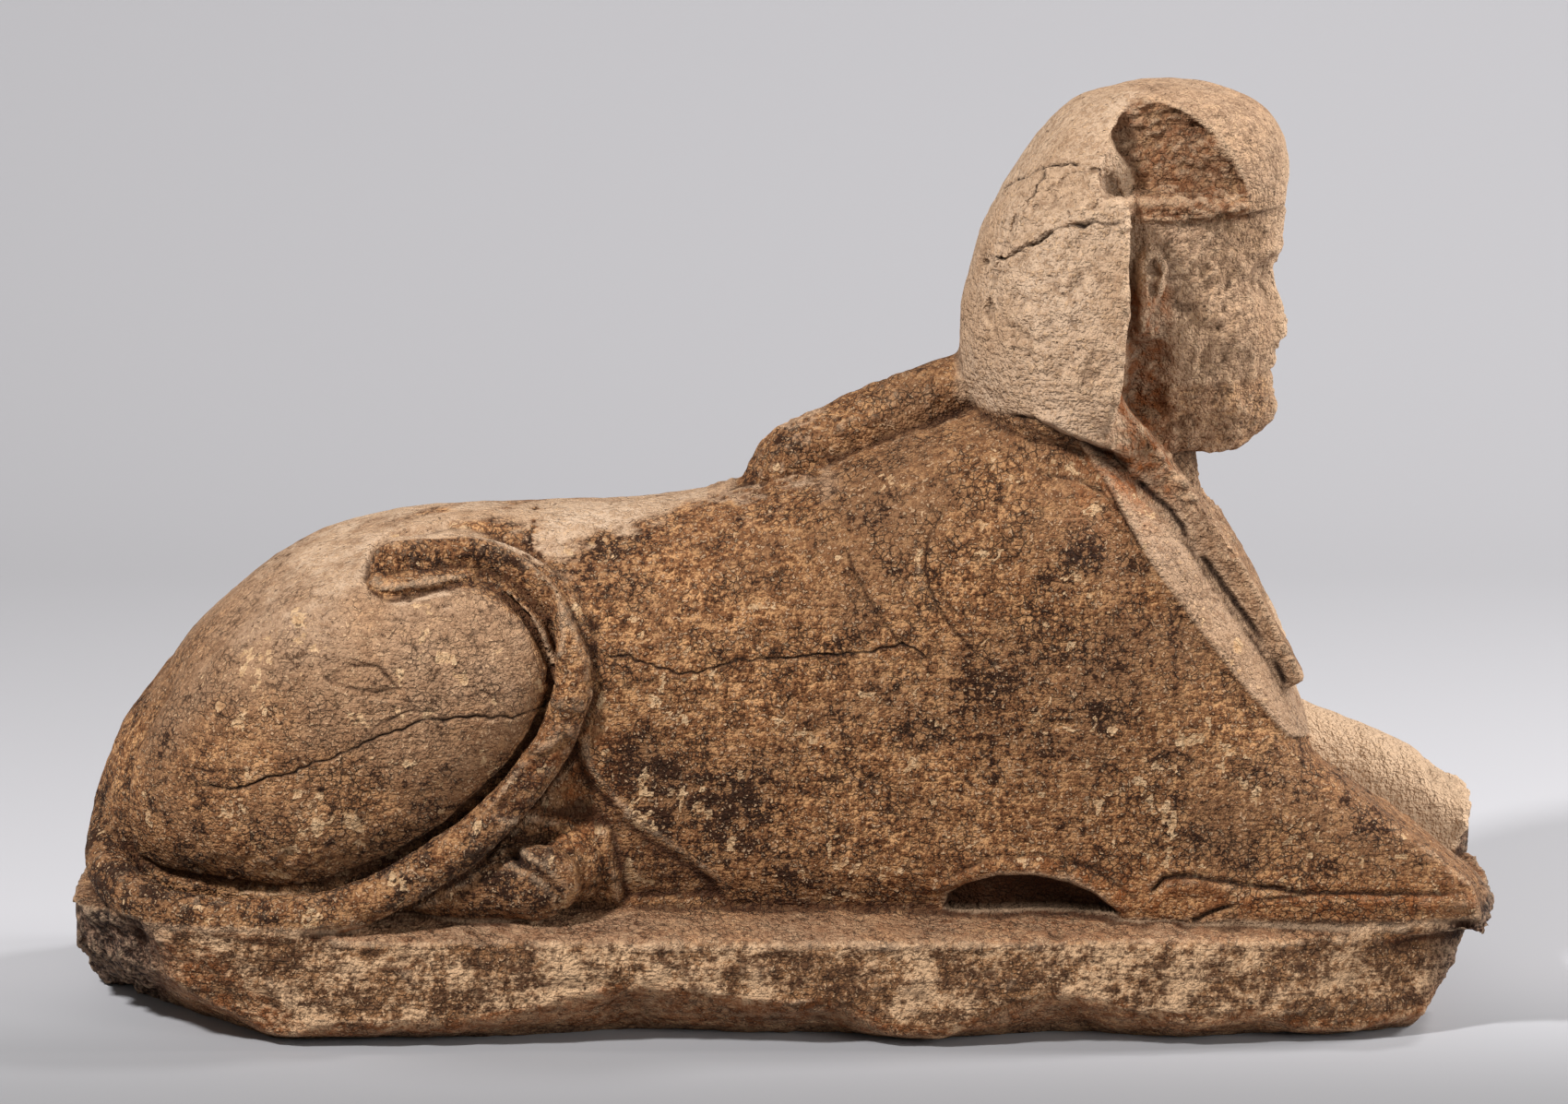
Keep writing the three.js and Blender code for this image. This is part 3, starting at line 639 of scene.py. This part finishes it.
def reshape(skin):
    """Cuts and fills on the right side that the plain solid only hints at."""
    points, normals = skin.points, skin.normals()
    x, y, z = points.T
    ragged = 2.5 * Grit(50).layered(points, 14, 3, 0.6)
    facing = ramp(-normals[:, 1], -0.3, 0.0) * (y < -15)

    swell(points, UPPER_TAIL, [20.5, 19.5, 16, 14.5, 14.5, 14.5, 14.5, 14])

    floor = -(62 + 25 * ramp(z, 700, 684) + 14 * ramp(x, 315, 375))
    floor += 1.5 * Grit(51).layered(points, 30, 3, 0.6)
    cut = facing * ramp(within(points, SCOOP) + 0.5 * ragged, -1, 3)
    points[:, 1] += cut * np.clip(floor - points[:, 1], 0, None)

    points[:, 0] += face_forms(points) * ramp(normals[:, 0], 0.1, 0.5) * (x > 300)

    fill = -(125 + 28 * ramp(x, 300, 240))
    added = (normals[:, 1] < 0.5) * ramp(within(points, NEMES_FOOT), -2, 3) * (y < RIGHT_SIDE)
    points[:, 1] += added * np.clip(fill - points[:, 1], None, 0)

    flaked = facing * ramp(within(points, FLAKED_SIDE) + ragged, -1, 2)
    points[:, 1] += flaked * 3.2
    away, share, _ = path_reach(flat(points), flat(np.array(TAIL)), 45)
    beside = away - np.interp(share, [0, 0.4, 0.66, 0.84, 1], [20, 19.5, 17.5, 14.5, 14.5])
    groove = np.exp(-(((beside - 3.0) / 3.2) ** 2)) * (share < 0.8)
    away, share, _ = path_reach(flat(points), flat(np.array(UPPER_TAIL)), 45)
    beside = away - np.interp(share, [0, 0.2, 0.45, 1], [20, 20, 15, 14.5])
    groove = np.maximum(groove, np.exp(-(((beside - 3.0) / 3.4) ** 2)) * (share < 0.96))
    groove *= ramp(-normals[:, 1], -0.4, 0.1) * ramp(z, 108, 118)
    points -= normals * (4.5 * groove)[:, None]

    for outline, depth, edge in ((FOLD_HOLLOW, 16, 5), (GROIN, 7, 10)):
        sunk = ramp(-normals[:, 1], -0.2, 0.3) * ramp(within(points, outline), 0, edge)
        points[:, 1] += depth * sunk * (y < RIGHT_SIDE) * (z > 107)
    outward = ramp(-normals[:, 1], -0.2, 0.3) * (y < -50) * (x > 284)
    points[:, 1] += 9 * box_mask(points, (292, 308), None, (515, 566), 14) * outward
    points[:, 1] -= 9 * ramp(within(points, EAR), -1, 4) * outward
    points[:, 1] += 6 * ramp(within(points, EAR_HOLLOW), -1, 3) * outward
    nowhere = np.zeros(len(points), bool)
    near_foot = (within(points, NEMES_FOOT) > -8) & (y < RIGHT_SIDE)
    skin.rub(np.where(near_foot, 3.0, 0.0), nowhere)
    near_tuft = path_reach(points, TUFT, 50)[0] < 44
    skin.rub(np.where(near_tuft, 3.0, 0.0), nowhere)


def keep_inside(points, low, high):
    """Eases the roughest spots back inside the solid's box, and beds the underside flat."""
    for axis, ease in enumerate((6, 3, 3)):
        over = np.clip(points[:, axis] - (high[axis] - ease), 0, None)
        points[:, axis] -= over - ease * np.tanh(over / ease)
        if axis < 2:
            under = np.clip(low[axis] + ease - points[:, axis], 0, None)
            points[:, axis] += under - ease * np.tanh(under / ease)
    np.maximum(points[:, 2], low[2], out=points[:, 2])


statue = carved_copy()
skin = Skin(statue.data)
rub_smooth(skin)
reshape(skin)
skin.write()
refine(statue, [
    ([way for _, _, way in (*CRACKS.values(), *CUT_LINES.values())] + [WING_EDGE], 5.0),
    ([way for _, _, way in CRACKS.values()], 2.6),
])
skin = Skin(statue.data)
height, normals, zone = weather(skin)
skin.points += normals * height[:, None]
keep_inside(skin.points, np.array(cad_low) / MM, np.array(cad_high) / MM)
skin.write()


class Socket:
    """A node's output that plain arithmetic works on: each operator adds its Math node."""

    def __init__(self, finish, output):
        self.finish, self.output = finish, output

    def __add__(self, other):
        return self.finish.sum("ADD", self, other)

    def __sub__(self, other):
        return self.finish.sum("SUBTRACT", self, other)

    def __rsub__(self, other):
        return self.finish.sum("SUBTRACT", other, self)

    def __mul__(self, other):
        return self.finish.sum("MULTIPLY", self, other)

    __radd__, __rmul__ = __add__, __mul__


class Finish:
    """One material, and the few ways in which nodes are added to it."""

    def __init__(self, name):
        self.material = bpy.data.materials.new(name)
        self.material.use_nodes = True
        self.nodes, self.links = self.material.node_tree.nodes, self.material.node_tree.links
        self.place = self.add("ShaderNodeTexCoord", out="Object")

    def add(self, kind, settings=None, inputs=None, out=0):
        node = self.nodes.new(kind)
        for name, value in (settings or {}).items():
            setattr(node, name, value)
        for name, value in (inputs or {}).items():
            if isinstance(value, Socket):
                self.links.new(value.output, node.inputs[name])
            else:
                node.inputs[name].default_value = value
        return Socket(self, node.outputs[out])

    def sum(self, operation, first, second):
        return self.add("ShaderNodeMath", {"operation": operation}, {0: first, 1: second})

    def mark(self, name):
        return self.add("ShaderNodeAttribute", {"attribute_name": name}, out="Fac")

    def ramp(self, value, low, high):
        inputs = {"Value": value, "From Min": low, "From Max": high}
        return self.add("ShaderNodeMapRange", {"interpolation_type": "SMOOTHSTEP"}, inputs)

    def mix(self, amount, first, second, way="MIX"):
        inputs = {0: amount, 6: first, 7: second}
        return self.add("ShaderNodeMix", {"data_type": "RGBA", "blend_type": way}, inputs, out=2)

    def spread(self, value, gain=2.6):
        """A noise with its middle values pulled apart, to fill 0 to 1."""
        inputs = {0: value, 1: gain, 2: 0.5 - 0.5 * gain}
        return self.add("ShaderNodeMath", {"operation": "MULTIPLY_ADD", "use_clamp": True}, inputs)

    def stretched(self, stretch, shift=0.0):
        settings, inputs = {"operation": "MULTIPLY_ADD"}, {0: self.place, 1: stretch, 2: (shift,) * 3}
        return self.add("ShaderNodeVectorMath", settings, inputs)

    def noise(self, size, detail=3.0, roughness=0.5, distortion=0.0, stretch=(1, 1, 1), shift=0.0):
        inputs = {"Vector": self.stretched(stretch, shift), "Scale": 1 / (size * MM), "Detail": detail,
                  "Roughness": roughness, "Distortion": distortion}
        return self.add("ShaderNodeTexNoise", None, inputs)

    def axes(self, place):
        """The three parts of a place."""
        node = self.add("ShaderNodeSeparateXYZ", None, {0: place}).output.node
        return tuple(Socket(self, output) for output in node.outputs)

    def cells(self, size, feature, place):
        inputs = {"Vector": place, "Scale": 1 / (size * MM)}
        return self.add("ShaderNodeTexVoronoi", {"feature": feature}, inputs)


def hue(red, green, blue):
    """A colour from the 0 to 255 scale, as the shader's own linear value."""
    return tuple(((c / 255 + 0.055) / 1.055) ** 2.4 for c in (red, green, blue)) + (1,)


DULL_STONE, LIGHT_STONE, STONE_GRIT = hue(178, 146, 117), hue(199, 172, 146), hue(152, 118, 88)
SKIN_LIGHT, SKIN_BROWN, SKIN_DARK = hue(192, 144, 98), hue(128, 85, 52), hue(76, 44, 22)
SKIN_SHADE, SKIN_STAIN, BLACK_STAIN = hue(108, 71, 43), hue(86, 51, 27), hue(50, 27, 12)
EVEN_LIGHT, EVEN_BROWN = hue(144, 108, 78), hue(120, 84, 56)
BED_LIGHT, BED_BROWN, BED_GRIME = hue(196, 160, 124), hue(136, 95, 60), hue(68, 41, 23)
ORANGE_SKIN = hue(156, 90, 44)
SHED_DULL, SHED_LIGHT, DUST = hue(170, 130, 90), hue(214, 180, 140), hue(224, 186, 146)
BREAK_GREY, BREAK_DARK = hue(122, 96, 78), hue(36, 26, 22)
HAIR_CRACK, SPECK, DIRT_AND_SHADE, WORN_EDGE_AND_HIGHLIGHT, CRACK_BOTTOM = (
    hue(40, 23, 13), hue(56, 33, 20), hue(54, 28, 12), hue(208, 176, 144), hue(28, 15, 8))


def limestone():
    f = Finish("limestone")
    mark = {name: f.mark(name) for name in MARKS}

    tone = f.spread(f.noise(80, 4, 0.55))
    lace = f.spread(f.noise(13, 3.5, 0.7, 0.2))
    crumb = f.spread(f.noise(5.5, 2, 0.62, shift=5.0))
    grain = f.spread(f.noise(2.6, 1, 0.5, shift=1.0))
    scratches = f.spread(f.noise(9, 3, 0.65, 0.3, stretch=(0.22, 0.22, 1.8), shift=2.0))
    upright = f.spread(f.noise(9, 3, 0.65, 0.3, stretch=(1.9, 1.9, 0.25), shift=9.0))
    patches = f.spread(f.noise(36, 4, 0.62, 0.3, shift=3.0))

    # Hair cracks round small plates of the brown skin.
    stray = 5 * MM
    inputs = {"Vector": f.place, "Scale": 1 / stray, "Detail": 2.0}
    wander = f.add("ShaderNodeTexNoise", None, inputs, out=1)
    inputs = {0: wander, 1: (stray,) * 3, 2: f.place}
    bent = f.add("ShaderNodeVectorMath", {"operation": "MULTIPLY_ADD"}, inputs)
    net = f.ramp(f.cells(7.5, "DISTANCE_TO_EDGE", bent), 0.08, 0.02)
    craze = net * f.ramp(patches, 0.3, 0.7) * mark["brown"]

    # Light stone, then brown skin over it in a lace that thickens with the dark mark.
    speckle = lace * 0.2 + crumb * 0.3 + grain * 0.24 + scratches * 0.14 + upright * 0.12
    stone = f.mix(tone, DULL_STONE, LIGHT_STONE)
    stone = f.mix(f.ramp(speckle, 0.46, 0.62) * 0.6, stone, STONE_GRIT)
    skin = f.mix(f.ramp(speckle, 0.36, 0.5), SKIN_LIGHT, SKIN_BROWN)
    skin = f.mix(f.ramp(speckle, 0.52, 0.64), skin, SKIN_DARK)
    skin = f.mix(f.ramp(tone * 0.6 + patches * 0.4, 0.3, 0.7) * 0.35, skin, SKIN_SHADE)
    skin = f.mix(mark["even"], skin, f.mix(crumb, EVEN_LIGHT, EVEN_BROWN))
    skin = f.mix(mark["dark"] * 0.45, skin, SKIN_STAIN)
    colour = f.mix(mark["brown"], stone, skin)
    darkness = f.ramp(speckle * 0.7 + lace * 0.15 + patches * 0.2 + mark["dark"] * 0.2, 0.69, 0.77)
    colour = f.mix(darkness * (mark["brown"] * 0.85 + 0.1), colour, BLACK_STAIN)
    sawn = f.ramp(scratches * 0.24 + lace * 0.3 + crumb * 0.2 + upright * 0.12 + patches * 0.2, 0.42, 0.66)
    beds = f.mix(f.ramp(patches * 0.5 + tone * 0.2 + crumb * 0.3, 0.3, 0.6), BED_LIGHT, BED_BROWN)
    beds = f.mix(sawn * 0.85, beds, BED_GRIME)
    colour = f.mix(mark["sawn"], colour, beds)
    colour = f.mix(mark["warm"] * f.ramp(lace, 0.1, 0.9), colour, ORANGE_SKIN)
    shed = f.ramp(mark["pale"] + (lace - 0.5) * 0.5 + (crumb - 0.5) * 0.3, 0.56, 0.66)
    colour = f.mix(shed * 0.8, colour, f.mix(crumb, SHED_DULL, SHED_LIGHT))
    dust = f.ramp(grain * 0.6 + crumb * 0.2 + (1 - lace) * 0.2 + mark["worn"] * 0.2, 0.66, 0.82)
    colour = f.mix(dust * 0.45, colour, DUST)
    colour = f.mix(mark["grey"], colour, f.mix(f.ramp(speckle, 0.38, 0.6), BREAK_GREY, BREAK_DARK))
    colour = f.mix(craze * (1 - shed) * 0.8, colour, HAIR_CRACK)
    specks = f.ramp(f.noise(5, 1, 0.5, shift=7.0), 0.3, 0.24)
    colour = f.mix(specks * 0.7, colour, SPECK)
    # Dirt and painted shade: the hollows, the fold, the groin, the scoop and the neck behind the jaw are
    # darkened.
    colour = f.mix(mark["dirt_and_shade"], colour, DIRT_AND_SHADE)
    # Pale worn edges, and a painted highlight over the far foreleg.
    colour = f.mix(mark["worn"], colour, WORN_EDGE_AND_HIGHLIGHT)
    colour = f.mix(mark["crack"], colour, CRACK_BOTTOM)

    relief = grain * 0.8 + crumb * 1.5 + lace * 1.6 + scratches * 0.9 + upright * 0.5
    relief = relief - craze * 0.6 - specks * 0.9
    bump = f.add("ShaderNodeBump", None, {"Strength": 1.0, "Distance": 1.45 * MM, "Height": relief})
    shader = f.nodes["Principled BSDF"]
    f.links.new(colour.output, shader.inputs["Base Color"])
    f.links.new((lace * 0.12 + 0.8).output, shader.inputs["Roughness"])
    f.links.new(bump.output, shader.inputs["Normal"])
    shader.inputs["Specular IOR Level"].default_value = 0.2
    return f.material


MARKS = ("brown", "dark", "even", "sawn", "warm", "pale", "grey", "dirt_and_shade", "worn", "crack")


def tint(skin, zone):
    """Where the stone is brown, dark, orange, bare, dirty or rubbed pale, and where shade is painted into
    hollows and light onto the far foreleg.
    """
    points, normals = skin.points, skin.normals()
    x, y, z = points.T
    grit = Grit(40)
    cloud = grit.layered(points, 70, 5, 0.6)
    sky = ramp(normals[:, 2], 0.25, 0.85)
    close = ((skin.blur(points, 4) - points) * normals).sum(1)
    wide = ((skin.blur(points, 30) - points) * normals).sum(1)
    body, head, haunch, plinth, bib = (zone[name] for name in ("body", "head", "haunch", "plinth", "bib"))
    # The far foreleg is painted lighter for the light that reaches it: less brown, less dark, and a painted
    # highlight.
    far_leg, scoop = zone["far_leg"], zone["scoop"]

    cream = body * (1 - zone["tail"]) * ramp(normals[:, 2] + 0.12 * cloud, 0.84, 0.99)
    cream = cream * ramp(x, 60, 0) * ramp(z, 300, 380)
    brown = body * (1 - cream) * (1 - 0.4 * haunch * ramp(z + 30 * cloud, 230, 380))
    brown = brown * (1 - 0.5 * bib) * (1 - 0.9 * far_leg) + 0.75 * plinth + 0.3 * zone["lappet"]
    # The scoop is browner: patina, and painted shade in the broken hollow.
    brown = brown + head * (0.12 + 0.24 * ramp(x, 284, 296) + 0.4 * scoop)
    brown = np.where(zone["queue"] > 0.5, np.maximum(brown, 0.5), brown)

    low = ramp(z, 320, 150)
    stained = 0.1 + 0.3 * low + 0.35 * cloud + 0.7 * belly_stain(points) + 0.35 * zone["tail"]
    clean_and_lit = (1 - cream) * (1 - 0.4 * ramp(x, 330, 420)) * (1 - 0.75 * bib) * (1 - 0.9 * far_leg)
    dark = body * np.clip(stained, 0, 1.2)
    dark *= clean_and_lit * (1 - 0.35 * haunch * ramp(z, 180, 260))
    dark += plinth * np.clip(0.35 + 0.35 * cloud, 0, 1)

    # neck: painted shade behind the jaw, where the headdress wing shades the neck; the warm and dirt marks
    # darken it there.
    neck = box_mask(points, (264, 308), (-125, 125), (460, 610), 16)
    smooth = 0.4 * body * np.clip(ramp(x, 290, 350) + ramp(z, 370, 440) * ramp(x, 40, 90), 0, 1)
    even = 0.6 * haunch + 0.5 * bib + 0.6 * plinth * sky + 0.35 * cloud + smooth
    warm = 0.8 * recess(points) + 0.15 * plinth * sky + 0.85 * neck + 0.45 * zone["under"] + 0.4 * scoop
    # sunk: painted shade in the hollow over the foreleg and in the groin.
    sunk = 0.85 * ramp(within(points, FOLD_HOLLOW), -1, 3) + 0.3 * ramp(within(points, GROIN), 0, 8)
    sunk = sunk * (y < RIGHT_SIDE)
    # Painted shade, with some real dirt: darker where the skin bends inwards (wide and close), behind the
    # jaw, in the fold, the groin and the scoop.
    dirt_and_shade = 0.75 * ramp(wide + close, 0.5, 2.6) + 0.75 * neck + sunk + 0.55 * scoop
    edge = 0.4 * np.exp(-(((z - 101 - 4 * cloud) / 4) ** 2)) * zone["side"]
    return {
        "brown": np.clip(brown, 0, 1),
        "dark": dark,
        "even": np.clip(even, 0, 0.75),
        "sawn": 0.9 * zone["side"],
        "warm": np.clip(warm, 0, 1),
        "pale": np.clip(0.85 * zone["bare"] * ramp(-normals[:, 1], 0.2, 0.6), 0, 1),
        "grey": 0.95 * zone["broken"],
        "dirt_and_shade": np.clip(dirt_and_shade, 0, 0.9) * (1 - 0.5 * head),
        # worn: rubbed pale edges and the plinth's top edge, and a painted highlight on the far foreleg.
        "worn": np.clip(0.35 * ramp(-close, 0.3, 1.2) + 0.7 * far_leg + edge, 0, 1),
        "crack": np.clip(zone["crack"] + 0.7 * zone["line"], 0, 1),
    }


def belly_stain(points):
    """The darkest stains: across the belly, below the shoulder, and low on the haunch."""
    stains = [
        ((-122, -140, 215), (34, 90, 45)), ((20, -140, 128), (110, 90, 26)),
        ((165, -150, 300), (40, 90, 22)), ((190, -150, 250), (50, 90, 45)),
        ((-430, -180, 160), (60, 60, 24)), ((-40, -150, 195), (70, 90, 40)),
        ((-160, -100, 400), (90, 60, 20)), ((225, -150, 385), (45, 60, 30)),
        ((-245, -170, 130), (50, 60, 25)),
    ]
    return sum(np.exp(-(((points - at) / size) ** 2).sum(1)) for at, size in stains)


def recess(points):
    """Where the orange skin is kept: fold, paws, the plinth's top, below the neck, behind the tail."""
    spots = [
        ((210, -160, 125), (90, 40, 22)), ((450, 0, 120), (120, 60, 40)),
        ((450, -190, 120), (120, 30, 14)), ((280, -110, 466), (42, 60, 40)),
        ((-180, -120, 214), (35, 60, 45)),
    ]
    return np.clip(sum(np.exp(-(((points - at) / size) ** 2).sum(1)) for at, size in spots), 0, 1)


# The carved block is cut along level, upright and slanting planes: which piece, a place on the plane,
# the way that the first part lies from it, and the names of both parts.
CUTS = [
    ("block", (0, 0, 105.5), (0, 0, -1), "plinth", "lion"),
    ("plinth", (-20, 0, 0), (-1, 0, 0), "sphinx_plinth_rear", "sphinx_plinth_front"),
    ("lion", (159, 0, 519), (0.38, 0, 0.925), "sphinx_head", "trunk"),
    ("trunk", (-140, 0, 0), (-1, 0, 0), "sphinx_hindquarters", "fore"),
    ("fore", (112.3, 0, 0), (-1, 0, 0), "sphinx_flanks", "sphinx_forequarters"),
]
FACING = ("facing_x", "facing_y", "facing_z")


def part_of(mesh, name, place, way):
    """The closed part of a mesh on one side of a plane, with a flat face on the cut."""
    starts = Skin.read(mesh.polygons, "loop_start", 1, np.int32)
    totals = Skin.read(mesh.polygons, "loop_total", 1, np.int32)
    corners = Skin.read(mesh.loops, "vertex_index", 1, np.int32)
    points = Skin.read(mesh.vertices, "co", 3)
    beyond = (points / MM - place) @ np.array(way) > 0
    kept = np.logical_or.reduceat(beyond[corners], starts)
    used, renumbered = np.unique(corners[np.repeat(kept, totals)], return_inverse=True)
    part = bpy.data.meshes.new(name)
    part.vertices.add(len(used))
    part.vertices.foreach_set("co", points[used].ravel())
    part.loops.add(len(renumbered))
    part.loops.foreach_set("vertex_index", renumbered.astype(np.int32))
    part.polygons.add(int(kept.sum()))
    part.polygons.foreach_set("loop_start", (np.cumsum(totals[kept]) - totals[kept]).astype(np.int32))
    part.update(calc_edges=True)
    for mark in (*MARKS, *FACING):
        values = Skin.read(mesh.attributes[mark].data, "value", 1)
        part.attributes.new(mark, "FLOAT", "POINT").data.foreach_set("value", values[used])

    work = bmesh.new()
    work.from_mesh(part)
    everything = work.verts[:] + work.edges[:] + work.faces[:]
    centre, axis = Vector(place) * MM, Vector(way).normalized()
    bmesh.ops.bisect_plane(
        work, geom=everything, dist=0.01 * MM, plane_co=centre, plane_no=axis, clear_inner=True)
    rim = [edge for edge in work.edges if edge.is_boundary]
    bmesh.ops.triangle_fill(work, edges=rim, use_beauty=False, normal=-axis)
    rim = [edge for edge in work.edges if edge.is_boundary]
    bmesh.ops.holes_fill(work, edges=rim, sides=0)
    work.to_mesh(part)
    work.free()
    return part


def cut_block(skin, marks, finish):
    """The statue as closed pieces, shaded over their joints as one surface."""
    block = skin.mesh
    for mark, values in {**marks, **dict(zip(FACING, skin.normals().T))}.items():
        block.attributes.new(mark, "FLOAT", "POINT").data.foreach_set("value", values.astype(np.float32))
    parts = {"block": block}
    for source, place, way, first, second in CUTS:
        whole = parts.pop(source)
        parts[first] = part_of(whole, first, place, way)
        parts[second] = part_of(whole, second, place, tuple(-share for share in way))
        bpy.data.meshes.remove(whole)
    for name, mesh in parts.items():
        facing = np.stack([Skin.read(mesh.attributes[mark].data, "value", 1) for mark in FACING], axis=1)
        for mark in FACING:
            mesh.attributes.remove(mesh.attributes[mark])
        mesh.shade_smooth()
        mesh.normals_split_custom_set_from_vertices(facing / np.linalg.norm(facing, axis=1, keepdims=True))
        mesh.materials.append(finish)
        piece = bpy.data.objects.new(name, mesh)
        bpy.context.scene.collection.objects.link(piece)
        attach(piece, "root")
        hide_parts("sphinx")


cut_block(skin, tint(skin, zone), limestone())


def paper(name, near, far):
    """Plain paper with painted shade: its colour darkens where it comes forward on the floor, standing in
    for the light falling off towards the front.
    """
    f = Finish(name)
    _, depth, _ = f.axes(f.place)
    shader = f.nodes["Principled BSDF"]
    # Painted shade: the floor's colour darkens towards the front.
    f.links.new(f.mix(f.ramp(depth, -0.42, 0.12), near, far).output, shader.inputs["Base Color"])
    shader.inputs["Roughness"].default_value = 0.9
    return f.material


def sweep():
    """The pale studio floor, running up a little behind the statue in one soft bend."""
    front, start, bend, half = -6, 2.0, 1.6, 7
    angles = np.linspace(0, math.radians(58), 12)[1:]
    profile = [(front, 0), (start, 0)]
    profile += [(start + bend * math.sin(a), bend - bend * math.cos(a)) for a in angles]
    corners = [(side * half, depth, up) for depth, up in profile for side in (-1, 1)]
    faces = [(2 * i, 2 * i + 1, 2 * i + 3, 2 * i + 2) for i in range(len(profile) - 1)]
    mesh = bpy.data.meshes.new("floor")
    mesh.from_pydata(corners, [], faces)
    mesh.shade_smooth()
    mesh.materials.append(paper("studio_floor_painted_shade", (0.2, 0.198, 0.205, 1), (0.445, 0.44, 0.46, 1)))
    floor = bpy.data.objects.new("floor", mesh)
    bpy.context.scene.collection.objects.link(floor)
    return floor


def aim(thing, target):
    thing.rotation_euler = (Vector(target) - thing.location).to_track_quat("-Z", "Y").to_euler()


def camera():
    data = bpy.data.cameras.new("camera")
    data.lens, data.sensor_width = 136.3, 36
    target, distance, rise = Vector((0, 0, 0.380)), 5.0, math.radians(10)
    thing = bpy.data.objects.new("camera", data)
    bpy.context.scene.collection.objects.link(thing)
    thing.location = target + Vector((0, -math.cos(rise), math.sin(rise))) * distance
    aim(thing, target)
    bpy.context.scene.camera = thing


def lamp(name, at, target, size, power):
    data = bpy.data.lights.new(name, "AREA")
    data.shape, data.size, data.energy = "DISK", size, power
    thing = bpy.data.objects.new(name, data)
    bpy.context.scene.collection.objects.link(thing)
    thing.location = at
    aim(thing, target)


camera()
sweep()
# Name, place, target, width in metres, watts.
lamp("key", (-2.0, -2.2, 3.1), (0, 0, 0.35), 0.45, 202)
lamp("fill", (2.2, -2.4, 1.2), (0.2, 0, 0.3), 1.4, 37)
lamp("right", (2.9, 0.1, 1.8), (0.2, 0, 0.4), 0.8, 70)
lamp("high_right", (4.1, 1.0, 5.9), (0, 0, 0.35), 0.8, 200)
world = bpy.data.worlds.new("studio")
bpy.context.scene.world = world
world.use_nodes = True
world.node_tree.nodes["Background"].inputs["Color"].default_value = (1.0, 0.965, 0.93, 1)
world.node_tree.nodes["Background"].inputs["Strength"].default_value = 0.3
bpy.context.scene.view_settings.view_transform = "Standard"
